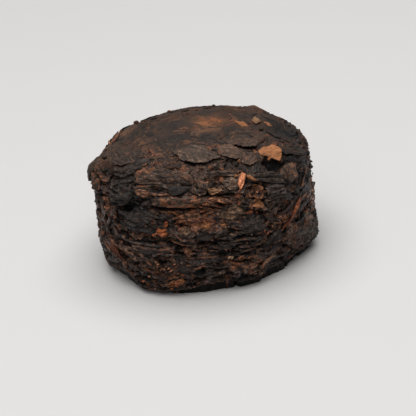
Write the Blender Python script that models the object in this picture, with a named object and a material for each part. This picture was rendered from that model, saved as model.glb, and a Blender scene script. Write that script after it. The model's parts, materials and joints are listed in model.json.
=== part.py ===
# A small pressed cake of ripe pu-erh tea: a drum of leaves squeezed together,
# with a nearly upright side, a rounded shoulder and a low domed top.
# It is one solid. The larger leaves, stems and shards that show on it are
# plates fused into the pressed core, and its foot is flat to rest on.
# Metres, +Z up. The origin is the middle of the foot.

import math
import random

import bmesh
import bpy
from mathutils import Vector

MM = 0.001

# Driving dimensions of the pressed form
DIAMETER = 24.6 * MM  # across the widest part of the side
HEIGHT = 14.6 * MM  # foot to the crown of the dome
WAIST = 7.7 * MM  # height at which the side is widest
DOME_POWER = 3.6  # superellipse power above the waist: a full, rounded shoulder
FOOT_POWER = 11.0  # power below the waist: an upright side and a tight foot edge
FOOT_CUT = 0.35 * MM  # how much of the rounded underside the flat foot takes off
FOOT_TAPER = 0.020  # share of the radius lost between the waist and the foot

# Slow waviness of the form: (share of the radius, lobes round, lobes upwards, phase)
WAVES = (
    (0.010, 2, 0.0, 0.6),
    (0.008, 3, 2.0, 2.1),
    (0.006, 5, 3.5, 4.4),
    (0.004, 9, 5.0, 1.3),
)

# Knobs (positive) and hollows (negative) in the form:
# (azimuth in degrees from +X, height, reach along the surface, rise)
LUMPS = (
    (188, 11.6 * MM, 1.7 * MM, 0.60 * MM),  # knob on the left shoulder
    (194, 7.4 * MM, 2.4 * MM, -0.35 * MM),  # the side draws in below that knob
    (228, 10.4 * MM, 0.9 * MM, -0.60 * MM),  # dark pit beside that knob
    (-47, 13.0 * MM, 1.3 * MM, -0.60 * MM),  # torn hollow under the pale leaf
    (-82, 0.4 * MM, 2.2 * MM, -0.60 * MM),  # notch in the foot, in front
    (-54, 0.8 * MM, 2.0 * MM, -0.60 * MM),  # crumbled foot at the front right
    (-24, 0.8 * MM, 1.8 * MM, -0.45 * MM),  # crumbled foot at the right
    (205, 0.6 * MM, 1.2 * MM, -0.35 * MM),  # bite out of the foot at the left
    (-126, 0.8 * MM, 2.6 * MM, 0.35 * MM),  # foot that bulges to the front left
    (-8, 2.4 * MM, 1.2 * MM, 0.35 * MM),  # shard that stands out low on the right
    (-5, 7.6 * MM, 1.4 * MM, 0.25 * MM),  # knob half way up on the right
    (148, 12.8 * MM, 3.0 * MM, 0.35 * MM),  # full shoulder at the back left
    (50, 13.4 * MM, 1.7 * MM, 0.45 * MM),  # ridge at the back of the crown
    (15, 11.0 * MM, 2.2 * MM, 0.25 * MM),  # full shoulder at the right
    (100, 5.0 * MM, 2.0 * MM, -0.30 * MM),  # shallow hollow in the back
)

CORE_SUBDIVISIONS = 3
CORE_INSET = 0.30 * MM  # the core's side and crown lie this far inside the form

# Plates laid over the core
LEAF_COUNT = 250
LEAF_SEED = 7
LOWEST_LEAF = -0.80  # no leaf is laid under the flat foot, below this upward share
LEAF_LENGTH = (2.6 * MM, 5.6 * MM)
LEAF_WIDTH = (1.2 * MM, 2.4 * MM)
LEAF_THICKNESS = 0.9 * MM  # most of it is sunk in the core
LEAF_RISE = (-0.26 * MM, 0.14 * MM)  # level of a leaf's face above the form
LEAF_LIFT = 0.22 * MM  # how far one long edge stands above the other
LEAF_SIDES = 7
LEAF_CLEARANCE = 0.12 * MM  # leaves stay this far above the ground
OUTLINE_JITTER = 0.26
POINTEDNESS = 0.35  # how much a leaf narrows towards its two ends
SLIVER = 0.004 * MM  # edges shorter than this are dissolved after fusing
CHAMFER = 0.82  # size of the outer face against the plate's foot
GRAIN_SPREAD_SIDE = math.radians(20)
GRAIN_SPREAD_TOP = math.radians(38)
CROWN_SPREAD_FROM = 0.5  # upward share above which the leaves lie more at random
CROWN_GRAIN = (0.25, 0.75)  # sideways shares between which the grain turns round the side
SPIRAL_JITTER = (0.12, 0.03)  # in azimuth, and in upward share
NORMAL_STEP = 0.02
HALVINGS = 40  # of the interval in which a height is looked for
GOLDEN_ANGLE = math.pi * (3 - math.sqrt(5))

# Pieces that stand out in particular:
# (azimuth, height, turn off the grain in degrees, length, width, rise)
MARKED_PIECES = (
    (-35, 13.7 * MM, -8, 2.9 * MM, 2.2 * MM, 0.35 * MM),  # pale leaf on the shoulder
    (-69, 12.5 * MM, -78, 2.8 * MM, 0.8 * MM, 0.40 * MM),  # pink-brown stem
    (-101, 11.0 * MM, -2, 8.4 * MM, 1.3 * MM, 0.25 * MM),  # long rolled leaf in front
    (-98, 14.3 * MM, -40, 5.4 * MM, 2.8 * MM, 0.20 * MM),  # broad slaty leaf above it
    (-117, 12.7 * MM, 5, 2.6 * MM, 1.3 * MM, 0.25 * MM),  # rolled oval leaf
    (-144, 10.9 * MM, 10, 3.6 * MM, 1.6 * MM, 0.30 * MM),  # dark leaf over the pit
    (-155, 3.3 * MM, -14, 3.8 * MM, 0.8 * MM, 0.35 * MM),  # rusty twig at the lower left
    (-44, 6.1 * MM, -12, 2.2 * MM, 0.8 * MM, 0.35 * MM),  # thin reddish twig at the right
    (-30, 3.6 * MM, 62, 3.4 * MM, 1.2 * MM, 0.25 * MM),  # upright shred at the right
    (62, 14.5 * MM, 4, 4.8 * MM, 2.0 * MM, 0.30 * MM),  # brown leaf across the crown
)


def form_radius(direction):
    """Distance from the waist's centre to the pressed form, along a unit vector."""
    across = math.hypot(direction.x, direction.y)
    upward = direction.z > 0
    power = DOME_POWER if upward else FOOT_POWER
    reach = HEIGHT - WAIST if upward else WAIST + FOOT_CUT
    radius = DIAMETER / 2
    if not upward:
        radius *= 1 + FOOT_TAPER * direction.z
    size = (across / radius) ** power + (abs(direction.z) / reach) ** power
    return size ** (-1 / power)


def form_point(direction):
    """Point of the form in that direction, with its waviness, knobs and hollows."""
    direction = direction.normalized()
    azimuth = math.atan2(direction.y, direction.x)
    across = math.hypot(direction.x, direction.y)
    radius = form_radius(direction)
    for share, round_lobes, up_lobes, phase in WAVES:
        wave = math.sin(round_lobes * azimuth + up_lobes * direction.z + phase)
        radius *= 1 + share * across * wave
    point = direction * radius
    for lump_azimuth, height, reach, rise in LUMPS:
        gap = (point - lump_centre(lump_azimuth, height)).length / reach
        point += direction * rise * math.exp(-gap * gap)
    return point + Vector((0, 0, WAIST))


def direction_at(azimuth_degrees, height):
    """Unit vector from the waist's centre to the plain form at a height."""
    azimuth = math.radians(azimuth_degrees)
    low, high = -math.pi / 2, math.pi / 2
    for _ in range(HALVINGS):
        middle = (low + high) / 2
        tilted = Vector((math.cos(middle), 0, math.sin(middle)))
        if form_radius(tilted) * tilted.z < height - WAIST:
            low = middle
        else:
            high = middle
    flat = math.cos(low)
    return Vector((flat * math.cos(azimuth), flat * math.sin(azimuth), math.sin(low)))


def lump_centre(azimuth_degrees, height):
    direction = direction_at(azimuth_degrees, height)
    return direction * form_radius(direction)


def form_normal(direction):
    """Outward normal of the form, from two short steps along it."""
    direction = direction.normalized()
    side = direction.orthogonal().normalized() * NORMAL_STEP
    other = direction.cross(side)
    here = form_point(direction)
    first = form_point(direction + side) - here
    second = form_point(direction + other) - here
    return first.cross(second).normalized()


def grain_frame(direction, turn):
    """Normal, length direction and width direction of a leaf that lies there.

    Leaves run round the side, and across the crown from left to right.
    """
    normal = form_normal(direction)
    across = math.hypot(direction.x, direction.y)
    inner, outer = CROWN_GRAIN
    blend = min(1.0, max(0.0, (across - inner) / (outer - inner)))
    around = Vector((-direction.y, direction.x, 0)).normalized()
    if around.x < 0:
        around.negate()
    grain = around * blend + Vector((1, 0, 0)) * (1 - blend)
    grain = (grain - normal * grain.dot(normal)).normalized()
    sideways = normal.cross(grain)
    along = grain * math.cos(turn) + sideways * math.sin(turn)
    return normal, along, normal.cross(along)


def make_core():
    """The pressed mass: a sphere primitive carried out to the form."""
    mesh = bpy.data.meshes.new("tea_brick")
    core = bmesh.new()
    bmesh.ops.create_icosphere(core, subdivisions=CORE_SUBDIVISIONS, radius=1)
    for vertex in core.verts:
        direction = vertex.co.normalized()
        inset = 0 if direction.z < LOWEST_LEAF else CORE_INSET
        point = form_point(direction) - form_normal(direction) * inset
        point.z = max(point.z, 0)
        vertex.co = point
    core.to_mesh(mesh)
    core.free()
    obj = bpy.data.objects.new("tea_brick", mesh)
    obj.data.materials.append(leaf_material())
    return obj


def make_plate(name, direction, turn, length, width, rise, lift, rng):
    """One leaf: a chamfered plate with a ragged outline, bent over the form."""
    normal, along, sideways = grain_frame(direction, turn)
    centre = form_point(direction)
    plate = bmesh.new()
    bmesh.ops.create_cone(
        plate, cap_ends=True, segments=LEAF_SIDES, radius1=1, radius2=CHAMFER, depth=1
    )
    cap = max(plate.faces, key=lambda face: face.calc_center_median().z)
    bmesh.ops.poke(plate, faces=[cap])
    foot = min(plate.faces, key=lambda face: face.calc_center_median().z)
    bmesh.ops.poke(plate, faces=[foot])
    ragged = [1 + rng.uniform(-1, 1) * OUTLINE_JITTER for _ in range(LEAF_SIDES)]
    for vertex in plate.verts:
        corner = math.atan2(vertex.co.y, vertex.co.x) / (2 * math.pi) * LEAF_SIDES
        factor = ragged[round(corner) % LEAF_SIDES]
        u = vertex.co.x * factor * length / 2
        v = vertex.co.y * factor * width / 2 * (1 - POINTEDNESS * abs(vertex.co.x))
        place = centre + along * u + sideways * v - Vector((0, 0, WAIST))
        level = rise + lift * v / width
        if vertex.co.z < 0:
            level -= LEAF_THICKNESS
        vertex.co = form_point(place) + normal * level
        vertex.co.z = max(vertex.co.z, LEAF_CLEARANCE)
    mesh = bpy.data.meshes.new(name)
    plate.to_mesh(mesh)
    plate.free()
    return bpy.data.objects.new(name, mesh)


def spiral_direction(index, count, rng):
    """Evenly spread directions on a golden spiral, each a little displaced."""
    z = 1 - 2 * (index + 0.5) / count
    azimuth_jitter, z_jitter = SPIRAL_JITTER
    azimuth = index * GOLDEN_ANGLE + rng.uniform(-azimuth_jitter, azimuth_jitter)
    z = max(-0.99, min(0.99, z + rng.uniform(-z_jitter, z_jitter)))
    flat = math.sqrt(1 - z * z)
    return Vector((flat * math.cos(azimuth), flat * math.sin(azimuth), z))


def lay_plates(collection):
    """Scattered leaves first, then the marked pieces on top of them."""
    rng = random.Random(LEAF_SEED)
    for index in range(LEAF_COUNT):
        direction = spiral_direction(index, LEAF_COUNT, rng)
        if direction.z < LOWEST_LEAF:
            continue
        on_crown = direction.z > CROWN_SPREAD_FROM
        spread = GRAIN_SPREAD_TOP if on_crown else GRAIN_SPREAD_SIDE
        turn = rng.gauss(0, spread)
        length = rng.uniform(*LEAF_LENGTH)
        width = rng.uniform(*LEAF_WIDTH)
        rise = rng.uniform(*LEAF_RISE)
        lift = rng.uniform(-1, 1) * LEAF_LIFT
        plate = make_plate(
            f"leaf_{index:03d}", direction, turn, length, width, rise, lift, rng
        )
        collection.objects.link(plate)
    for index, (azimuth, height, turn, length, width, rise) in enumerate(MARKED_PIECES):
        plate = make_plate(
            f"marked_{index}", direction_at(azimuth, height), math.radians(turn),
            length, width, rise, LEAF_LIFT, rng,
        )
        collection.objects.link(plate)


def leaf_material():
    material = bpy.data.materials.new("pressed_tea_leaf")
    material.use_nodes = True
    shader = material.node_tree.nodes["Principled BSDF"]
    shader.inputs["Base Color"].default_value = (0.045, 0.026, 0.018, 1)
    shader.inputs["Roughness"].default_value = 0.6
    shader.inputs["Metallic"].default_value = 0.0
    return material


def keep_outer_shell(mesh):
    """Fills hollows that fusing sealed, by keeping only the largest closed shell."""
    whole = bmesh.new()
    whole.from_mesh(mesh)
    bmesh.ops.dissolve_degenerate(whole, edges=whole.edges, dist=SLIVER)
    shells = []
    waiting = set(whole.faces)
    while waiting:
        shell = {waiting.pop()}
        edge_of_shell = list(shell)
        while edge_of_shell:
            face = edge_of_shell.pop()
            for edge in face.edges:
                near = waiting.intersection(edge.link_faces)
                waiting -= near
                shell |= near
                edge_of_shell.extend(near)
        shells.append(shell)
    largest = max(shells, key=len)
    spare = [face for face in whole.faces if face not in largest]
    bmesh.ops.delete(whole, geom=spare, context="FACES")
    whole.to_mesh(mesh)
    whole.free()


def fuse(obj, collection):
    """Joins every plate to the core, then removes the plates."""
    modifier = obj.modifiers.new("fused_leaves", "BOOLEAN")
    modifier.operation = "UNION"
    modifier.operand_type = "COLLECTION"
    modifier.collection = collection
    modifier.solver = "EXACT"
    bpy.context.view_layer.update()
    graph = bpy.context.evaluated_depsgraph_get()
    mesh = bpy.data.meshes.new_from_object(obj.evaluated_get(graph))
    obj.modifiers.clear()
    obj.data = mesh
    keep_outer_shell(mesh)
    for plate in list(collection.objects):
        bpy.data.objects.remove(plate)
    bpy.data.collections.remove(collection)


def main():
    for obj in list(bpy.data.objects):
        bpy.data.objects.remove(obj)
    brick_collection = bpy.data.collections.new("tea_brick_parts")
    plate_collection = bpy.data.collections.new("plates")
    for collection in (brick_collection, plate_collection):
        bpy.context.scene.collection.children.link(collection)
    brick = make_core()
    brick_collection.objects.link(brick)
    lay_plates(plate_collection)
    fuse(brick, plate_collection)
    print(len(brick.data.polygons), "faces")


main()
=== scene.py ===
import json
import math
import random

import bmesh
import bpy
import numpy as np
from mathutils import Matrix, Vector

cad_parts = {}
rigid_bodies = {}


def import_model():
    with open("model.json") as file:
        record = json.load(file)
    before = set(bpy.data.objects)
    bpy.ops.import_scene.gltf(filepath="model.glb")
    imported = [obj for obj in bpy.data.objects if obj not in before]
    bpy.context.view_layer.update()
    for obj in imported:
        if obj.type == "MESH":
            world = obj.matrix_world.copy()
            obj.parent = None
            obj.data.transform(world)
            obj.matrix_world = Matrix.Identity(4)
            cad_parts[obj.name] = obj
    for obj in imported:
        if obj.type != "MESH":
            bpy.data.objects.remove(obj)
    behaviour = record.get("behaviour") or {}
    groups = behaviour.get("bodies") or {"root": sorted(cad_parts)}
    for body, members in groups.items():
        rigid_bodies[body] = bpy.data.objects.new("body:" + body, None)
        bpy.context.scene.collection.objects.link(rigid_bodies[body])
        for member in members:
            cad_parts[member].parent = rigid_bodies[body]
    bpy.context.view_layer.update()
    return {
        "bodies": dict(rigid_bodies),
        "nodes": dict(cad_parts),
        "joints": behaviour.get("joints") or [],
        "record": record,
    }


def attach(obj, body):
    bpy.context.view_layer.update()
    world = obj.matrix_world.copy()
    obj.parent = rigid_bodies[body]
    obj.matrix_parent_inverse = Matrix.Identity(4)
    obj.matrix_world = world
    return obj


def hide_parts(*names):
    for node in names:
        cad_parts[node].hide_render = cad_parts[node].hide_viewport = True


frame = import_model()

# Looks for a small pressed cake of ripe tea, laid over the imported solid.
# Lengths are in millimetres until a mesh is made.
mm = 0.001
print("frame loaded:", ", ".join(frame["nodes"]))

# The pressed form, with the same sizes as the solid
cakeForm = {
    "diameter": 24.6, "height": 14.6,
    "waist": 7.7,  # height where the side is widest
    "domePower": 3.6, "footPower": 11, "footCut": 0.35, "footTaper": 0.02,
    "inset": 0.14,  # the loose leaves lie on a form that is this much smaller
    "normalStep": 0.02,
    "waves": (  # share of the radius, lobes round, lobes upwards, phase
        (0.01, 2, 0, 0.6), (0.008, 3, 2, 2.1), (0.006, 5, 3.5, 4.4), (0.004, 9, 5, 1.3),
    ),
    "lumps": (  # azimuth in degrees, height, reach, rise
        (188, 11.6, 1.7, 0.6), (194, 7.4, 2.4, -0.35), (228, 10.4, 0.9, -0.6), (-47, 13, 1.3, -0.6),
        (-82, 0.4, 2.2, -0.6), (-54, 0.8, 2, -0.6), (-24, 0.8, 1.8, -0.45), (205, 0.6, 1.2, -0.35),
        (-126, 0.8, 2.6, 0.35), (-8, 2.4, 1.2, 0.35), (-5, 7.6, 1.4, 0.25), (148, 12.8, 3, 0.35),
        (50, 13.4, 1.7, 0.45), (15, 11, 2.2, 0.25), (100, 5, 2, -0.3),
    ),
}
waistCentre = np.array((0, 0, cakeForm["waist"]))


def unit(vectors):
    return vectors / np.linalg.norm(vectors, axis=-1, keepdims=True)


def dot(first, second):
    return (first * second).sum(axis=-1)


def ramp(values, start, width):
    # 0 up to the start, then rising to 1 over the width; a width below 0 runs the other way
    return np.clip((values - start) / width, 0, 1)


def rayTo(azimuth, rise):
    # unit vectors at these angles round and upwards, in radians
    flat = np.cos(rise)
    parts = np.broadcast_arrays(flat * np.cos(azimuth), flat * np.sin(azimuth), np.sin(rise))
    return np.stack(parts, axis=-1)


def formRadius(rays):
    # distance from the waist's centre to the plain form, along unit vectors
    across, rise = np.hypot(rays[..., 0], rays[..., 1]), rays[..., 2]
    upward = rise > 0
    waist = cakeForm["waist"]
    power = np.where(upward, cakeForm["domePower"], cakeForm["footPower"])
    reach = np.where(upward, cakeForm["height"] - waist, waist + cakeForm["footCut"])
    radius = cakeForm["diameter"] / 2 * np.where(upward, 1, 1 + cakeForm["footTaper"] * rise)
    return ((across / radius) ** power + (np.abs(rise) / reach) ** power) ** (-1 / power)


def rayAt(azimuthDegrees, height):
    # the ray that meets the plain form at this azimuth and height
    low, high = -math.pi / 2, math.pi / 2
    for _ in range(40):
        middle = (low + high) / 2
        tilted = rayTo(0, middle)
        if formRadius(tilted) * tilted[2] < height - cakeForm["waist"]:
            low = middle
        else:
            high = middle
    return rayTo(math.radians(azimuthDegrees), low)


def spotAt(azimuth, height):
    # that place on the plain form, from the waist's centre
    ray = rayAt(azimuth, height)
    return ray * formRadius(ray)


def nearness(points, spot, reach):
    # 1 at the spot, fading to 0 around it
    gap = np.linalg.norm(points - spot, axis=-1) / reach
    return np.exp(-gap * gap)


def spotsOf(rows):
    # rows of azimuth, height and more, with the spot on the form in front
    return [(spotAt(azimuth, height), *rest) for azimuth, height, *rest in rows]


lumpSpots = spotsOf(cakeForm["lumps"])


def formPoints(rays):
    # points of the form, with its waviness, knobs and hollows
    rays = unit(rays)
    azimuth = np.arctan2(rays[..., 1], rays[..., 0])
    across = np.hypot(rays[..., 0], rays[..., 1])
    radius = formRadius(rays)
    for share, lobesRound, lobesUp, phase in cakeForm["waves"]:
        wave = np.sin(lobesRound * azimuth + lobesUp * rays[..., 2] + phase)
        radius = radius * (1 + share * across * wave)
    points = rays * radius[..., None]
    for spot, reach, rise in lumpSpots:
        points = points + rays * (rise * nearness(points, spot, reach))[..., None]
    return points - rays * cakeForm["inset"] + waistCentre


def formNormals(rays):
    rays = unit(rays)
    upAxis = np.where(np.abs(rays[..., 2:]) < 0.9, (0.0, 0.0, 1.0), (1.0, 0.0, 0.0))
    side = unit(np.cross(rays, upAxis)) * cakeForm["normalStep"]
    other = np.cross(rays, side)
    here = formPoints(rays)
    return unit(np.cross(formPoints(rays + side) - here, formPoints(rays + other) - here))


def grainFrames(rays, turns):
    # normal, length direction and width direction of leaves that lie there:
    # they run round the side, and across the crown from left to right
    normals = formNormals(rays)
    blend = ramp(np.hypot(rays[..., 0], rays[..., 1]), 0.25, 0.5)[..., None]
    around = np.stack([-rays[..., 1], rays[..., 0], np.zeros(len(rays))], axis=-1)
    around = unit(around) * np.where(around[..., :1] < 0, -1, 1)
    grain = around * blend + np.array((1.0, 0, 0)) * (1 - blend)
    grain = unit(grain - normals * dot(grain, normals)[..., None])
    sideways = np.cross(normals, grain)
    along = grain * np.cos(turns)[..., None] + sideways * np.sin(turns)[..., None]
    return normals, along, np.cross(normals, along)


# A table of leaves holds one of each of these for every leaf
def leafTable(*columns):
    return dict(zip(("ray", "turn", "length", "width", "level", "tilt"), columns))


def tableOf(rows):
    # from rows of azimuth, height, turn, length, width, level, tilt
    table = np.array([row[:7] for row in rows], float)
    rays = np.array([rayAt(azimuth, height) for azimuth, height in table[:, :2]])
    return leafTable(rays, np.radians(table[:, 2]), *table[:, 3:].T)


def joinLeaves(*tables):
    return {key: np.concatenate([table[key] for table in tables]) for key in tables[0]}


def chooseLeaves(leaves, chosen):
    return {key: values[chosen] for key, values in leaves.items()}


# Smooth seeded noise over points, in -1..1, one cell to a unit
def cellValues(cells, seed):
    mixed = cells[..., 0] * 73856093 ^ cells[..., 1] * 19349663 ^ cells[..., 2] * 83492791
    mixed = (mixed + seed * 374761393) & 0xFFFFFFFF
    mixed = ((mixed ^ (mixed >> 13)) * 1274126177) & 0xFFFFFFFF
    mixed = ((mixed ^ (mixed >> 15)) * 2246822519) & 0xFFFFFFFF
    return (mixed >> 8 & 0xFFFF) / 32767.5 - 1


def smoothNoise(points, seed=0):
    cells = np.floor(points).astype(np.int64)
    part = points - cells
    ease = part * part * (3 - 2 * part)
    total = 0
    for corner in range(8):
        step = np.array((corner & 1, corner >> 1 & 1, corner >> 2 & 1))
        weight = np.prod(np.where(step, ease, 1 - ease), axis=-1)
        total = total + weight * cellValues(cells + step, seed)
    return total


def layeredNoise(points, seed=0, layers=3):
    return sum(smoothNoise(points * 2**layer, seed + layer) / 2**layer for layer in range(layers))


def laneNoise(along, index, lane, pitch):
    # noise along one line for each leaf: index and lane pick the line
    along, index = np.broadcast_arrays(along, index)
    places = np.stack([along * pitch, index * 7.31, np.full(along.shape, lane * 3.7)], axis=-1)
    return smoothNoise(places, 5)


# Where the leaves of the solid lie, by the same rule and the same random draws
solidLeaves = {
    "count": 250, "seed": 7, "lowest": -0.8, "length": (2.6, 5.6), "width": (1.2, 2.4),
    "rise": (-0.26, 0.14), "lift": 0.22, "sides": 7, "spreadSide": math.radians(20),
    "spreadTop": math.radians(38), "crownFrom": 0.5, "spiralJitter": (0.12, 0.03), "pole": 0.99,
    "marked": (  # azimuth, height, turn, length, width, rise
        (-35, 13.7, -8, 2.9, 2.2, 0.35), (-69, 12.5, -78, 2.8, 0.8, 0.4), (-101, 11, -2, 8.4, 1.3, 0.25),
        (-98, 14.3, -40, 5.4, 2.8, 0.2), (-117, 12.7, 5, 2.6, 1.3, 0.25), (-144, 10.9, 10, 3.6, 1.6, 0.3),
        (-155, 3.3, -14, 3.8, 0.8, 0.35), (-44, 6.1, -12, 2.2, 0.8, 0.35), (-30, 3.6, 62, 3.4, 1.2, 0.25),
        (62, 14.5, 4, 4.8, 2, 0.3),
    ),
}
goldenAngle = math.pi * (3 - math.sqrt(5))


def solidLeafPlaces():
    draw = random.Random(solidLeaves["seed"])
    azimuthJitter, riseJitter = solidLeaves["spiralJitter"]
    count, pole, lift = (solidLeaves[key] for key in ("count", "pole", "lift"))
    rows = []
    for index in range(count):
        z = 1 - 2 * (index + 0.5) / count
        azimuth = index * goldenAngle + draw.uniform(-azimuthJitter, azimuthJitter)
        z = max(-pole, min(pole, z + draw.uniform(-riseJitter, riseJitter)))
        if z < solidLeaves["lowest"]:
            continue
        turn = draw.gauss(0, solidLeaves["spreadTop" if z > solidLeaves["crownFrom"] else "spreadSide"])
        sizes = [draw.uniform(*solidLeaves[key]) for key in ("length", "width", "rise")]
        rows.append((*rayTo(azimuth, math.asin(z)), turn, *sizes, draw.uniform(-1, 1) * lift))
        for _ in range(solidLeaves["sides"]):
            draw.uniform(-1, 1)
    for azimuth, height, turn, *sizes in solidLeaves["marked"]:
        rows.append((*rayAt(azimuth, height), math.radians(turn), *sizes, lift))
    table = np.array(rows)
    return leafTable(table[:, :3], *table[:, 3:].T)


spiral = {  # how far scattered leaves stray from their even spiral
    "riseJitter": 0.02, "azimuthJitter": 0.15, "highest": 0.995, "crownFrom": 0.5, "askewTurn": 1.5,
}


def scatterLeaves(settings):
    # evenly spread leaves on a golden spiral, each displaced and sized at random
    draw = np.random.default_rng(settings["seed"])
    count, lowest = settings["count"], settings["lowest"]
    index = np.arange(count)
    z = 1 - (1 - lowest) * (index + 0.5) / count + draw.normal(0, spiral["riseJitter"], count)
    z = np.clip(z, lowest, spiral["highest"])
    azimuth = index * goldenAngle + draw.normal(0, spiral["azimuthJitter"], count)
    spread = np.where(z > spiral["crownFrom"], settings["spreadTop"], settings["spreadSide"])
    turns = draw.normal(0, 1, count) * np.radians(spread)
    askew = draw.random(count) < settings["askew"]
    turns = np.where(askew, draw.uniform(-1, 1, count) * spiral["askewTurn"], turns)
    low, high = settings["length"]
    length = low + (high - low) * draw.uniform(0, 1, count) ** settings["shortBias"]
    width = np.clip(length / draw.uniform(*settings["slimness"], count), *settings["width"])
    level = draw.uniform(*settings["level"], count)
    tilt = draw.uniform(-1, 1, count) * settings["tilt"]
    return leafTable(rayTo(azimuth, np.arcsin(z)), turns, length, width, level, tilt)


# Clefts between the leaves, and pits, pressed into all that lies there; painted shade darkens them
clefts = (  # azimuth, height, turn, length, width, depth
    (-98, 14.2, -22, 2.5, 0.52, 0.6), (-44, 14.3, -43, 2.2, 0.68, 0.6), (-83, 13.8, 11, 1.6, 0.45, 0.6),
    (-112, 10.8, 1, 3, 0.43, 0.7), (-99, 10.8, -3, 2.9, 0.38, 0.7), (-80, 10.9, -10, 1.3, 0.32, 0.6),
    (-79, 11.8, -6, 4.1, 0.32, 0.6), (-100, 12.5, 34, 1.5, 0.22, 0.5), (-116, 12.6, 15, 1.7, 0.46, 0.5),
    (-140, 13.4, 69, 1.9, 0.54, 0.6), (-119, 9.7, -16, 2.9, 0.37, 0.6), (-125, 8.6, 25, 1.4, 0.33, 0.6),
    (-133, 7.5, 2, 3.8, 0.4, 0.6), (-117, 7.6, 2, 3, 0.3, 0.6), (-107, 6.3, -30, 1.7, 0.49, 0.7),
    (-102, 6.3, -5, 1.3, 0.36, 0.6), (-110, 6.7, -36, 1.5, 0.63, 0.7), (-92, 7.7, -24, 1.9, 0.35, 0.6),
    (-96, 7.5, -62, 1, 0.22, 0.5), (-73, 6.6, -11, 1.8, 0.46, 0.7), (-64, 6.1, -18, 2.1, 0.28, 0.5),
    (-72, 6, -12, 4.2, 0.23, 0.5), (-71, 5.6, -8, 3.7, 0.24, 0.5), (-77, 5.3, 13, 1.1, 0.31, 0.6),
    (-69, 5.1, -7, 2.7, 0.24, 0.5), (-64, 9.2, -31, 3.1, 0.33, 0.6), (-52, 9, 86, 0.9, 0.4, 0.6),
    (-61, 12.2, -34, 2, 0.34, 0.6), (-56, 11.4, -54, 0.9, 0.56, 0.8), (3, 13.7, 45, 3.8, 0.7, 0.5),
    (-84, 4.9, -10, 1.3, 0.48, 0.6), (-46, 5.7, -54, 1.7, 0.57, 0.8), (-56, 5.5, -8, 1.1, 0.61, 0.8),
    (-57, 4.7, 18, 1.5, 0.56, 0.6), (-97, 2.9, 3, 1.6, 0.8, 0.7), (-72, 1.1, -6, 4.4, 0.9, 0.6),
    (-153, 3.5, 26, 1.7, 0.44, 0.6), (-138, 5.8, 1, 2.4, 0.4, 0.6), (-138, 7.3, 27, 1.8, 0.44, 0.6),
    (-125, 2.5, 26, 1.4, 0.66, 0.7), (-132, 3.6, 28, 1.9, 0.44, 0.6), (-117, 1, 1, 2.1, 0.6, 0.6),
    (-41, 6.4, 13, 1.2, 0.46, 0.6), (-39, 3.9, -87, 2.3, 0.49, 0.6), (-44, 3.2, -29, 1.8, 0.33, 0.6),
    (-45, 5.5, -84, 1.2, 0.72, 0.8), (-78, 7.8, -6, 1, 0.35, 0.6), (-93, 6.7, -6, 0.9, 0.24, 0.5),
    (-92, 5.9, -54, 1, 0.22, 0.5), (-78, 5.3, -2, 0.7, 0.48, 0.7), (-98, 5.2, -46, 0.7, 0.34, 0.6),
    (-80, 4.4, -78, 0.8, 0.32, 0.6), (-43, 13.1, -55, 2.4, 1, 0.6), (-43, 13, -42, 2.6, 1.9, 1),
    (-134, 10.3, 27, 2.7, 1, 1), (-146, 9.9, 25, 2.2, 0.5, 0.7), (-38, 9.6, 70, 2.6, 0.4, 0.6),
    (-50, 8, 40, 2.2, 0.35, 0.5), (-101, 6, -30, 2.4, 0.3, 0.5), (-97, 1.7, -10, 2.2, 0.6, 0.5),
    (-128, 2.2, 8, 2.6, 0.5, 0.5), (-76, 1.9, -14, 3, 0.5, 0.5), (-153, 6.8, -30, 2.4, 0.4, 0.5),
    (20, 13.9, 40, 3.6, 0.6, 0.6), (4, 13.2, -50, 2.6, 0.5, 0.6), (-104, 10.7, 0, 6.6, 0.45, 1.2),
    (-131, 11.5, 70, 1.2, 0.5, 1), (-88, 11.9, 2, 3.2, 0.4, 1), (-80, 10.8, 0, 1.6, 0.45, 1),
    (-61, 8.8, -10, 2, 0.35, 1),
)
sownClefts = {
    "seed": 12, "count": 320, "rise": (-0.9, 0.75), "length": (1, 4.6), "width": (0.16, 0.38),
    "depth": (0.45, 1.1), "turn": 0.26,
    "crownFrom": 0.45, "crown": 0.4,  # only fine cracks up there
    "wander": ((0.16, 1.3), (0.06, 3.1)),  # how far they wander aside, cells to a millimetre
    "search": 0.4,  # how far past a cleft's end points are looked at
    "cleftShadeAt": 0.3,  # how deep a cleft is fully dark with painted shade
}


def cleftPlaces():
    draw = np.random.default_rng(sownClefts["seed"])
    count = sownClefts["count"]
    z = draw.uniform(*sownClefts["rise"], count)
    rays = rayTo(draw.uniform(-math.pi, math.pi, count), np.arcsin(z))
    share = np.where(z > sownClefts["crownFrom"], sownClefts["crown"], 1)
    turn = draw.normal(0, sownClefts["turn"], count)
    length, width, depth = (draw.uniform(*sownClefts[key], count) for key in ("length", "width", "depth"))
    sown = leafTable(rays, turn, length, width * share, depth * share, np.zeros(count))
    return joinLeaves(sown, tableOf([(*row, 0) for row in clefts]))


def leafFrames(leaves):
    # one row for each leaf: its middle, length direction, width direction and half sizes
    _, along, sideways = grainFrames(leaves["ray"], leaves["turn"])
    return list(zip(formPoints(leaves["ray"]), along, sideways, leaves["length"] / 2, leaves["width"] / 2))


cleftTable = cleftPlaces()
cleftFrames = leafFrames(cleftTable)


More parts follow.
